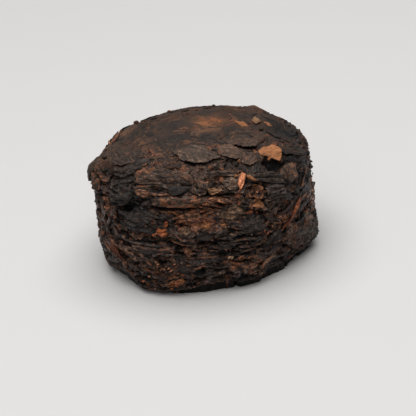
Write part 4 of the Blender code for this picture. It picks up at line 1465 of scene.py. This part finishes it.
def makeOutlined(name, leaves, material, around, rings):
    shares = (1 - np.linspace(0, 0.9, rings) ** 1.25)[:, None]
    share = np.concatenate([np.repeat(shares, around), [0.0]])
    seed = sum(ord(letter) for letter in name)
    parts = []
    for number, leaf in enumerate(leaves):
        curve, middle = leaf["curve"], leaf["middle"]
        mark = seed % 50 + number * 17.3
        crumple, shape = leaf["crumple"], outlineShape

        def noiseOver(flat, pitch, seed, layers=2):
            # layered noise over places in the leaf's own plane; the mark sets the leaves apart
            places = np.concatenate([flat * pitch + mark, np.full((len(flat), 1), mark * 0.37)], axis=1)
            return layeredNoise(places, seed, layers)

        def turned(degrees):
            angle = math.radians(degrees)
            return u * math.cos(angle) + v * math.sin(angle), v * math.cos(angle) - u * math.sin(angle)

        # ragged edge, then rings of it towards the middle
        reach = np.linalg.norm(curve - middle, axis=1)[:, None]
        small = min(1.0, reach.mean() / 1.1)
        nick = shape["nick"] * np.clip(noiseOver(curve, 2.3, 301, 1) - 0.3, 0, 1)
        wander = (shape["ragged"] * noiseOver(curve, 1.1, 300, 4) - nick) * small * leaf["rough"]
        curve = curve + (curve - middle) / reach * wander[:, None]
        flat = middle + (curve - middle)[None] * shares[..., None]
        flat = np.concatenate([flat.reshape(-1, 2), middle[None]])
        jitter = np.stack([noiseOver(flat, 1.9, 303, 1), noiseOver(flat, 1.9, 304, 1)], axis=-1)
        flat = flat + jitter * shape["jitter"] * np.clip((1 - share) * 3, 0, 1)[:, None]
        u, v = flat.T

        # level over the form: creases, ripples, pleats, and the tucked or free edge
        runU, runV = turned(leaf["grain"])
        run = np.stack([runU, runV * 2], axis=-1)
        crease = np.abs(noiseOver(run, 0.9, 310, 1)) + 0.5 * np.abs(noiseOver(run, 1.9, 311, 1))
        pleats, pleatTurn, pleatDepth = leaf["pleats"]
        across = turned(pleatTurn)[1] + 0.4 * noiseOver(run, 0.6, 315, 2)
        fold = np.sin(2 * math.pi * pleats * across)
        fold = fold * np.clip(0.75 + 0.6 * noiseOver(run, 0.7, 316, 1), 0.1, 1.3)
        tuck = tuckOf(leaf, u, v)
        level = (
            outlineLevel(leaf, u, v) + shape["crease"] * crumple * (crease - 0.4)
            + shape["ripple"] * leaf["rough"] * noiseOver(run, 0.6, 312, 2)
            + shape["pucker"] * (0.5 + crumple) * noiseOver(run, 2.4, 313, 2)
            + shape["dome"] * (0.5 - share**2) + pleatDepth * fold + leaf["bowl"] * (share**3 - 0.6)
            - shape["tuck"] * tuck * share**5 + shape["lipRise"] * (1 - tuck) ** 2 * share**4
        )
        local = leaf["centre"] + leaf["along"] * u[:, None] + leaf["sideways"] * v[:, None]
        surface, outward = formPoints(local), formNormals(local)
        level = level - 0.3 * cleftDepth(surface) + swellRise(surface)
        thickness = leaf["thickness"] * (0.5 + 0.5 * (1 - share**4))
        faces = [surface + outward * height[:, None] for height in (level, level - thickness)]
        points = offFloor(np.concatenate(faces)[None])[0]

        # paint
        # painted shade in the pleats' grooves, a bowl's middle and the crease valleys, and all over the under
        # face
        groove = np.clip(-fold - 0.35, 0, 1) * 1.4 * (pleatDepth > 0)
        bowl = np.clip(0.9 - share * 1.25, 0, 1) * (leaf["bowl"] > 0.2) * 1.2
        hollow = ramp(crease, 0.13, -0.13) * 0.9 * min(1, crumple)
        hollow = np.clip(np.maximum(hollow, np.maximum(groove, bowl)), 0, 1)
        wear = np.clip(share**8 * 0.5 + ramp(crease, 0.5, 0.3) * 0.7, 0, 1)
        run = np.stack([runU, runV], axis=-1) + (mark % 97, mark * 0.7 % 89)
        *colour, rustiness = leafKinds[leaf["kind"]]
        tone = np.exp(leaf["tone"] * noiseOver(flat, 0.7, 320, 3))
        tone = tone * leaf["shade"] * (1 - leaf["fade"] * share**2)
        rust = leaf["rust"] * rustiness * (1 + 0.8 * noiseOver(flat, 0.6, 321, 2))
        parts.append((
            points, np.concatenate([run, run + 0.4]),
            np.tile(colour * tone[:, None], (2, 1)), np.tile(rust, 2),
            np.concatenate([hollow, np.ones(len(hollow))]), np.concatenate([wear, wear * 0.3]),
            np.maximum(crownCalm(points), leaf["calm"]),
        ))
    points, run, *paint = (np.concatenate(part) for part in zip(*parts))
    triangles = repeated(ringTriangles(around, rings), len(points) // len(leaves), len(leaves))
    paint = dict(zip(("leafTint", "rusty", "hollow", "wear", "calm"), paint))
    makePiece(name, points, triangles, material, outlineShape["sharp"], run, paint)


for name, (_, material, points, rings) in outlineSets.items():
    makeOutlined(name, outlined[name], material, points, rings)


# Strands: rolled leaf and stalk as wavy tubes
def makeStrands(name, strands, shape):
    count, sides, steps = len(strands["turn"]), shape["sides"], shape["steps"]
    draw = np.random.default_rng(shape["seed"])

    def each(low, high):
        return draw.uniform(low, high, count)[:, None]

    def lane(number, pitch):
        return laneNoise(u, index, number, pitch)

    _, along, sideways = grainFrames(strands["ray"], strands["turn"])
    centres = formPoints(strands["ray"]) - waistCentre
    length, width, level, tilt = (strands[key][:, None] for key in ("length", "width", "level", "tilt"))
    s = np.linspace(-1, 1, steps + 1)[None, :]
    index = np.arange(count)[:, None] + shape["seed"] * 13.0
    u = s * length / 2
    wave = lane(1, 0.9) + 0.5 * lane(2, 2.1)
    v = each(-1, 1) * shape["bow"] * (s * s - 0.3) * length + shape["wave"] * wave
    calm = crownCalm(centres + waistCentre)[:, None]
    taper = (1 - np.abs(s) ** each(2, 6)) ** 0.5 * (1 - shape["point"]) + shape["point"]
    thick = width / 2 * taper * (1 + shape["lumpy"] * lane(3, 2.4)) * (1 - 0.4 * calm)
    level = level + tilt * s + shape["rise"] * lane(4, 1.0)
    level = level * (1 - massShape["calmed"] * calm) - 2 * massShape["calmSink"] * calm
    middle = centres[:, None] + along[:, None] * u[..., None] + sideways[:, None] * v[..., None]
    surface, outward = formPoints(middle), formNormals(middle)
    cleft = cleftDepth(surface)
    level = np.minimum(level - cleft * 0.7, coverLevel(surface) - thick) + swellRise(surface)
    core = surface + outward * level[..., None]

    # rings of points round the core, then its two ends
    across = unit(np.cross(unit(np.gradient(core, axis=1)), outward))
    turn = np.arange(sides) * 2 * math.pi / sides
    turn = turn + (each(0, 6.28) + each(-1, 1) * shape["twist"] * u)[..., None]
    ridges = shape["ridged"] * np.cos(2 * turn) + shape["fineRidged"] * np.cos(5 * turn)
    radius = thick[..., None] * (1 + ridges)
    flatness = each(*shape["flatness"])[..., None]
    points = (
        core[:, :, None] + across[:, :, None] * (np.cos(turn) * radius)[..., None]
        + outward[:, :, None] * (np.sin(turn) * radius * flatness)[..., None]
    )
    points = offFloor(np.concatenate([points.reshape(count, -1, 3), core[:, [0, -1]]], axis=1), 0.03)
    pointCount = points.shape[1]
    rings = np.arange(pointCount - 2).reshape(steps + 1, sides)
    quads = [np.stack([a, np.roll(a, -1), np.roll(b, -1), b], axis=-1) for a, b in zip(rings[:-1], rings[1:])]
    first, last = (np.full(sides, pointCount - place) for place in (2, 1))
    triangles = np.concatenate([
        splitQuads(np.concatenate(quads)),
        np.stack([np.roll(rings[0], -1), rings[0], first], axis=-1),
        np.stack([rings[-1], np.roll(rings[-1], -1), last], axis=-1),
    ])

    # paint; the ends have none of their own
    run, hollow = np.zeros((count, pointCount, 2)), np.zeros((count, pointCount))
    run[:, :-2, 0] = np.repeat(np.broadcast_to(u, (count, steps + 1)), sides, axis=1)
    run[:, :-2, 1] = np.tile(np.arange(sides) * 0.12, steps + 1)
    run += np.stack([index * 2.3 % 83, index * 1.7 % 71], axis=-1)
    # painted shade where a strand lies in a cleft
    hollow[:, :-2] = np.repeat(ramp(cleft, 0, sownClefts["cleftShadeAt"]), sides, axis=1)
    points = points.reshape(-1, 3)
    bright, rustExtra = placeTint(points)
    leafOf = np.repeat(np.arange(count), pointCount)
    makePiece(
        name, points, repeated(triangles, pointCount, count), leafMaterial, shape["sharp"],
        run.reshape(-1, 2),
        {
            "leafTint": strands["tint"][leafOf] * bright, "rusty": strands["rust"][leafOf] + rustExtra,
            "hollow": hollow.ravel(), "wear": np.full(len(points), shape["wear"]),
            "calm": crownCalm(points),
        },
    )


rolledShape = {
    "sides": 7, "steps": 20, "seed": 5, "bow": 0.05, "wave": 0.1, "point": 0.25, "lumpy": 0.3,
    "rise": 0.07, "twist": 0.7, "ridged": 0.22, "fineRidged": 0.12, "flatness": (0.45, 0.9), "sharp": 50,
    "wear": 0.3,
}
rolledLeaves = {
    "seed": 41, "count": 270, "lowest": -0.88, "length": (1.6, 4.8), "shortBias": 1.1,
    "slimness": (6, 14), "width": (0.18, 0.42), "level": (-0.22, 0.1), "tilt": 0.1,
    "spreadSide": 18, "spreadTop": 48, "askew": 0.1, "kindSeeds": (58, 59),
    "shares": {"darkLeaf": 0.5, "brownLeaf": 0.32, "rustLeaf": 0.13, "oliveLeaf": 0.05},
}
shownRolled = (  # azimuth, height, turn, length, width, level, tilt, kind
    (-68, 5.9, -12, 4, 0.22, 0.12, 0, "darkLeaf"), (-71, 6.2, -11, 3.8, 0.2, 0.14, 0, "brownLeaf"),
    (-72, 5.7, -13, 3.8, 0.22, 0.14, 0, "darkLeaf"), (-73, 5.4, -12, 3.4, 0.2, 0.12, 0, "brownLeaf"),
    (-74, 6.5, -10, 3, 0.2, 0.12, 0, "darkLeaf"), (-123, 6.3, 4, 6.8, 0.3, 0.14, 0, "darkLeaf"),
    (-122, 5.9, 5, 6.4, 0.28, 0.16, 0, "brownLeaf"), (-119, 5.2, 7, 5.4, 0.26, 0.14, 0, "darkLeaf"),
    (-95, 5.8, -9, 4, 0.16, 0.16, 0, "rustLeaf"), (-94, 4.9, -4, 4, 0.16, 0.16, 0, "rustLeaf"),
    (-112, 6.6, -44, 1.4, 0.24, 0.18, 0, "rustLeaf"), (-48, 11.9, -22, 2.7, 0.24, 0.2, 0, "brownLeaf"),
    (-49, 11.6, -26, 2.6, 0.24, 0.2, 0, "darkLeaf"), (-150, 3.9, -16, 3.8, 0.42, 0.28, 0.1, "rustLeaf"),
    (-44, 6.4, 29, 2.6, 0.26, 0.28, 0, "rustLeaf"), (-31, 8.2, 15, 2.2, 0.3, 0.25, 0, "rustLeaf"),
    (-143, 7.6, -38, 1.7, 0.3, 0.2, 0, "rustLeaf"), (-72, 11.7, 49, 1.1, 0.26, 0.25, 0, "rustLeaf"),
    (-48, 13.3, 58, 2, 0.3, -0.35, 0, "darkLeaf"), (-42, 12.7, 56, 1.8, 0.3, -0.35, 0, "darkLeaf"),
    (-63, 8.9, -17, 1, 0.22, 0.1, 0, "rustLeaf"),
)
makeStrands("rolledLeaves", joinLeaves(sowClear(rolledLeaves), showRows(shownRolled, 60)), rolledShape)

fibreShape = {**rolledShape, "sides": 5, "steps": 10, "seed": 6, "wave": 0.12, "point": 0.4, "lumpy": 0.2}
fibres = {
    "seed": 42, "count": 380, "lowest": -0.9, "length": (0.7, 3), "shortBias": 1.6,
    "slimness": (10, 24), "width": (0.06, 0.14), "level": (-0.12, 0.16), "tilt": 0.08,
    "spreadSide": 26, "spreadTop": 60, "askew": 0.16, "kindSeeds": (61, 62),
    "shares": {"darkLeaf": 0.25, "brownLeaf": 0.3, "rustLeaf": 0.35, "oliveLeaf": 0.1},
}
makeStrands("fineFibres", sow(fibres), fibreShape)

# Small shreds that stand off the surface
shredShape = {
    **slimShape, "rows": 8, "columns": 2, "bow": 0.3, "ragged": 0.25, "thickness": (0.04, 0.09),
    "crease": 0.12,
}
shreds = {
    "seed": 43, "count": 340, "lowest": -0.9, "length": (0.5, 1.9), "shortBias": 1.4,
    "slimness": (3, 8), "width": (0.1, 0.32), "level": (-0.04, 0.16), "tilt": 0.12,
    "spreadSide": 30, "spreadTop": 70, "askew": 0.25, "kindSeeds": (63, 64),
    "shares": {"darkLeaf": 0.42, "brownLeaf": 0.33, "rustLeaf": 0.18, "oliveLeaf": 0.04, "orangeLeaf": 0.03},
}
makeLeaves("leafShreds", sow(shreds), shredShape, 8)

# Narrow strips that the photograph shows one by one
shownStrips = (  # azimuth, height, turn, length, width, kind
    (-47, 6.5, 3, 0.9, 0.27, "rustLeaf"), (-48, 5.6, -3, 0.6, 0.26, "orangeLeaf"),
    (-37, 4.2, -81, 2, 0.58, "rustLeaf"), (-34, 2.4, -47, 2.6, 0.37, "rustLeaf"),
    (-33, 5.1, -82, 1.1, 0.56, "rustLeaf"), (-43, 4.7, -81, 0.8, 0.36, "rustLeaf"),
    (-41, 3.4, -66, 1.5, 0.52, "rustLeaf"), (-29, 2.5, -45, 3.2, 0.53, "rustLeaf"),
    (-30, 3.8, -41, 3.7, 0.94, "brownLeaf"), (-20, 3.1, -61, 2.5, 1.06, "brownLeaf"),
    (-14, 2.5, -66, 1.7, 0.9, "darkLeaf"), (-27, 5.7, 83, 1.3, 0.97, "rustLeaf"),
    (-21, 5.7, 77, 2.7, 1.62, "rustLeaf"), (-17, 8.1, 81, 2.5, 1.63, "brownLeaf"),
    (-54, 6.5, 17, 0.6, 0.28, "orangeLeaf"), (-53, 6.7, 87, 0.7, 0.22, "goldenLeaf"),
    (-81, 8.2, -4, 0.9, 0.23, "oliveLeaf"), (-78, 7.2, -13, 0.7, 0.26, "goldenLeaf"),
    (-95, 5.4, -11, 2.4, 0.24, "rustLeaf"), (-86, 4.6, -6, 2.2, 0.24, "orangeLeaf"),
    (-85, 5.2, -37, 0.5, 0.34, "orangeLeaf"), (-71, 4.9, -7, 1.7, 0.59, "redLeaf"),
    (-145, 6.9, -42, 1.5, 0.51, "brownLeaf"), (-141, 7.5, -48, 1.3, 0.5, "brownLeaf"),
    (-129, 6.2, -74, 1, 0.32, "oliveLeaf"), (-112, 6.2, -37, 1.8, 0.39, "rustLeaf"),
    (-133, 5.4, 5, 3.8, 0.32, "brownLeaf"), (-132, 5, 12, 4.6, 0.24, "brownLeaf"),
    (-153, 10.2, -81, 1.7, 0.98, "rustLeaf"), (-158, 8.9, 79, 2.7, 1.88, "brownLeaf"),
    (-166, 4.8, 81, 2.9, 0.56, "brownLeaf"), (-72, 6.2, -14, 4.5, 0.23, "brownLeaf"),
    (-72, 5.8, -10, 4, 0.23, "darkLeaf"), (-71, 5.4, -7, 3.6, 0.24, "brownLeaf"),
    (-70, 4.9, -8, 3.1, 0.24, "darkLeaf"), (-83, 6.5, -3, 1.9, 0.24, "darkLeaf"),
    (-87, 4.6, -21, 2.4, 0.28, "darkLeaf"), (-35, 14.3, 37, 2, 0.18, "orangeLeaf"),
    (-45, 14.1, -70, 0.4, 0.35, "orangeLeaf"), (-45, 13.9, -55, 0.4, 0.32, "orangeLeaf"),
)
stripShape = {**slimShape, "rows": 10, "columns": 3, "bow": 0.1, "thickness": (0.06, 0.12), "crease": 0.16}
stripLevel = 0.17
stripRows = [(*place, stripLevel, 0, kind) for *place, kind in shownStrips]
makeLeaves("narrowStrips", showRows(stripRows, 69), stripShape, 10)

# Flakes that fray the foot
footShape = {**slimShape, "rows": 12, "columns": 4, "ragged": 0.4, "endLift": 0.14}
footFlakes = {
    "seed": 44, "count": 90, "height": (0.15, 1.5), "turn": (-1.2, 1.2), "length": (0.8, 2.4),
    "width": (0.4, 1.2), "level": (-0.16, 0.12), "tilt": (-0.24, 0.24), "kindSeeds": (65, 66),
    "shares": {"darkLeaf": 0.62, "brownLeaf": 0.28, "redLeaf": 0.1},
}


def footPlaces():
    draw = np.random.default_rng(footFlakes["seed"])
    count = footFlakes["count"]
    azimuth = (np.arange(count) + draw.uniform(-0.5, 0.5, count)) * 360 / count
    height = draw.uniform(*footFlakes["height"], count)
    sizes = [draw.uniform(*footFlakes[key], count) for key in ("turn", "length", "width", "level", "tilt")]
    leaves = leafTable(np.array([rayAt(*place) for place in zip(azimuth, height)]), *sizes)
    kindSeed, tintSeed = footFlakes["kindSeeds"]
    leaves["tint"], leaves["rust"] = tintsOf(pickKinds(count, footFlakes["shares"], kindSeed), tintSeed)
    return leaves


makeLeaves("footFlakes", footPlaces(), footShape, 9)


# Crumbs that cling to the side, sown and in heaps
crumbs = {
    "seed": 45, "shapeSeed": 46, "kindSeeds": (67, 68), "count": 230, "rise": (-0.93, 0.7),
    "size": (0.09, 0.34), "small": 2.0, "rough": 0.3, "long": (1.0, 1.7), "flat": (0.5, 0.9), "turn": 0.6,
    "level": (-0.1, 0.16), "sharp": 50, "wear": 0.4,
    "heapSize": 0.55,  # share of the size of the sown crumbs
    "heapLevel": 0.1,
    "shares": {"darkLeaf": 0.5, "brownLeaf": 0.33, "rustLeaf": 0.15, "orangeLeaf": 0.02},
}
crumbHeaps = (  # azimuth, height, reach, count, kind
    (-53, 6.8, 0.3, 4, "goldenLeaf"), (-60, 6.5, 0.2, 3, "orangeLeaf"), (-67, 6.8, 0.2, 2, "oliveLeaf"),
    (-92, 8.7, 0.3, 6, "goldenLeaf"), (-86, 8.4, 0.2, 3, "orangeLeaf"), (-82, 8.5, 0.2, 3, "goldenLeaf"),
    (-51, 3.4, 0.2, 2, "orangeLeaf"), (-66, 3.8, 0.4, 8, "rustLeaf"), (-80, 4.3, 0.2, 2, "goldenLeaf"),
    (-111, 8.8, 0.2, 5, "orangeLeaf"), (-108, 8.3, 0.2, 3, "orangeLeaf"), (-122, 8.8, 0.2, 3, "rustLeaf"),
    (-118, 9.4, 0.2, 3, "rustLeaf"), (-135, 1.7, 0.1, 1, "orangeLeaf"), (-128, 1.8, 0.2, 3, "orangeLeaf"),
    (-121, 1.7, 0.3, 4, "orangeLeaf"), (-118, 3.5, 1.3, 26, "rustLeaf"), (-115, 3.3, 1.2, 7, "rustLeaf"),
    (-110, 1.6, 0.6, 8, "orangeLeaf"), (-60, 2.2, 0.9, 18, "oliveLeaf"), (-77, 3.1, 0.2, 4, "orangeLeaf"),
    (-42, 11.3, 0.2, 3, "goldenLeaf"), (-72, 10.7, 0.2, 3, "orangeLeaf"), (-81, 5.5, 0.3, 4, "rustLeaf"),
    (-115, 8, 0.7, 8, "orangeLeaf"), (-63, 9.9, 0.5, 8, "orangeLeaf"), (-61, 11.5, 0.5, 6, "rustLeaf"),
    (-42, 13.5, 0.5, 3, "tanFlake"), (-104, 0.9, 1, 10, "redLeaf"), (-45, 4.4, 0.8, 8, "rustLeaf"),
)


def crumbPlaces():
    draw = np.random.default_rng(crumbs["seed"])
    count = crumbs["count"]
    z = draw.uniform(*crumbs["rise"], count)
    rays = [rayTo(draw.uniform(-math.pi, math.pi, count), np.arcsin(z))]
    kinds = [pickKinds(count, crumbs["shares"], crumbs["kindSeeds"][0])]
    for spot, reach, heapCount, kind in spotsOf(crumbHeaps):
        rays.append(unit(spot + draw.normal(0, reach / 2, (heapCount, 3))))
        kinds.append([kind] * heapCount)
    return np.concatenate(rays), np.concatenate(kinds)


def makeCrumbs():
    rays, kinds = crumbPlaces()
    count = len(rays)
    heaped = np.arange(count) >= crumbs["count"]
    draw = np.random.default_rng(crumbs["shapeSeed"])
    ball = bmesh.new()
    bmesh.ops.create_icosphere(ball, subdivisions=2, radius=1)
    corners = np.array([vertex.co[:] for vertex in ball.verts])
    faces = np.array([[vertex.index for vertex in face.verts] for face in ball.faces])
    ball.free()
    normals, along, sideways = grainFrames(rays, draw.normal(0, crumbs["turn"], count))
    low, high = crumbs["size"]
    radius = low + (high - low) * draw.uniform(0, 1, count) ** crumbs["small"]
    radius = radius * np.where(heaped, crumbs["heapSize"], 1)
    surface = formPoints(rays)
    level = draw.uniform(*crumbs["level"], count) + swellRise(surface) + crumbs["heapLevel"] * heaped
    long = draw.uniform(*crumbs["long"], count)
    stretch = np.stack([long, np.ones(count), draw.uniform(*crumbs["flat"], count)])
    rough = layeredNoise(corners * 1.4 + np.arange(count)[:, None, None] * 3.7, 330, 2)
    local = corners * (1 + crumbs["rough"] * rough)[..., None] * (radius * stretch).T[:, None]
    centre = surface + normals * level[:, None]
    points = centre[:, None] + sum(
        part[:, None] * local[..., axis:axis + 1] for axis, part in enumerate((along, sideways, normals))
    )
    points = offFloor(points, 0.03).reshape(-1, 3)
    crumbOf = np.repeat(np.arange(count), len(corners))
    tint, rust = tintsOf(kinds, crumbs["kindSeeds"][1])
    run = local[..., :2].reshape(-1, 2) + (crumbOf % 61)[:, None] * 1.7
    makePiece(
        "clingingCrumbs", points, repeated(faces, len(corners), count), leafMaterial, crumbs["sharp"], run,
        {
            "leafTint": tint[crumbOf] * placeTint(points)[0], "rusty": rust[crumbOf],
            "hollow": np.zeros(len(points)), "wear": np.full(len(points), crumbs["wear"]),
            "calm": crownCalm(points),
        },
    )


makeCrumbs()


# Floor, light and camera
studio = {
    "elevation": 24.7,
    "roll": 5.7,  # degrees that the camera leans clockwise
    "distance": 260.0,
    "pixelsPerMm": 8.95,  # at the cake's middle, in a 416 pixel frame
    "aimHeight": 6.5,
    "aimPixel": (205.4, 197.5),  # where that height of the axis shows in the photograph
    "frameSide": 416,
    "floorSide": 6.0,  # in metres
    "floorColour": (0.53, 0.528, 0.532), "floorRoughness": 0.9, "floorSpecular": 0.2,
    "world": (0.98, 0.975, 0.97), "worldStrength": 0.12,
    "lampAim": 6.0,
    "lamps": {  # place, size, power, colour
        "windowLight": ((0, 20, 320), 420, 1.56, (1, 0.98, 0.96)),
        "frontFill": ((-40, -220, 260), 300, 0.5, (1, 0.98, 0.95)),
    },
    "sensorWidth": 36, "clip": (0.01, 20),
}


def makeFloor():
    mesh = bpy.data.meshes.new("studioFloor")
    side = studio["floorSide"] / 2
    corners = [(-side, -side, 0), (side, -side, 0), (side, side, 0), (-side, side, 0)]
    mesh.from_pydata(corners, [], [(0, 1, 2, 3)])
    floor = bpy.data.objects.new("studioFloor", mesh)
    bpy.context.scene.collection.objects.link(floor)
    material = bpy.data.materials.new("paleFloor")
    material.use_nodes = True
    shader = material.node_tree.nodes["Principled BSDF"]
    shader.inputs["Base Color"].default_value = (*studio["floorColour"], 1)
    shader.inputs["Roughness"].default_value = studio["floorRoughness"]
    shader.inputs["Specular IOR Level"].default_value = studio["floorSpecular"]
    mesh.materials.append(material)


def softLamp(name, place, size, power, colour):
    light = bpy.data.lights.new(name, "AREA")
    light.shape = "DISK"
    light.size = size * mm
    light.energy = power
    light.color = colour
    lamp = bpy.data.objects.new(name, light)
    lamp.location = Vector(place) * mm
    aim = Vector((0, 0, studio["lampAim"])) * mm
    lamp.rotation_euler = (aim - lamp.location).to_track_quat("-Z", "Y").to_euler()
    bpy.context.scene.collection.objects.link(lamp)


def makeCamera():
    elevation, roll = math.radians(studio["elevation"]), math.radians(studio["roll"])
    ahead = Vector((0, math.cos(elevation), -math.sin(elevation)))
    right = Vector((1, 0, 0))
    up = right.cross(ahead)
    cameraRight = right * math.cos(roll) - up * math.sin(roll)
    cameraUp = right * math.sin(roll) + up * math.cos(roll)
    offRight, offDown = (
        (studio["frameSide"] / 2 - pixel) / studio["pixelsPerMm"] for pixel in studio["aimPixel"]
    )
    aim = Vector((0, 0, studio["aimHeight"])) + cameraRight * offRight - cameraUp * offDown
    place = aim - ahead * studio["distance"]
    data = bpy.data.cameras.new("camera")
    data.sensor_width = studio["sensorWidth"]
    data.lens = studio["pixelsPerMm"] * studio["distance"] / studio["frameSide"] * data.sensor_width
    data.clip_start, data.clip_end = studio["clip"]
    camera = bpy.data.objects.new("camera", data)
    turn = np.array([cameraRight, cameraUp, -ahead]).T
    camera.matrix_world = Matrix.Translation(place * mm) @ Matrix(turn.tolist()).to_4x4()
    bpy.context.scene.collection.objects.link(camera)
    bpy.context.scene.camera = camera


def makeWorld():
    world = bpy.data.worlds.new("studio")
    world.use_nodes = True
    shade = world.node_tree.nodes["Background"]
    shade.inputs["Color"].default_value = (*studio["world"], 1)
    shade.inputs["Strength"].default_value = studio["worldStrength"]
    bpy.context.scene.world = world
    bpy.context.scene.view_settings.view_transform = "Standard"


makeFloor()
for name, lamp in studio["lamps"].items():
    softLamp(name, *lamp)
makeWorld()
makeCamera()
print("floor, light and camera ready")
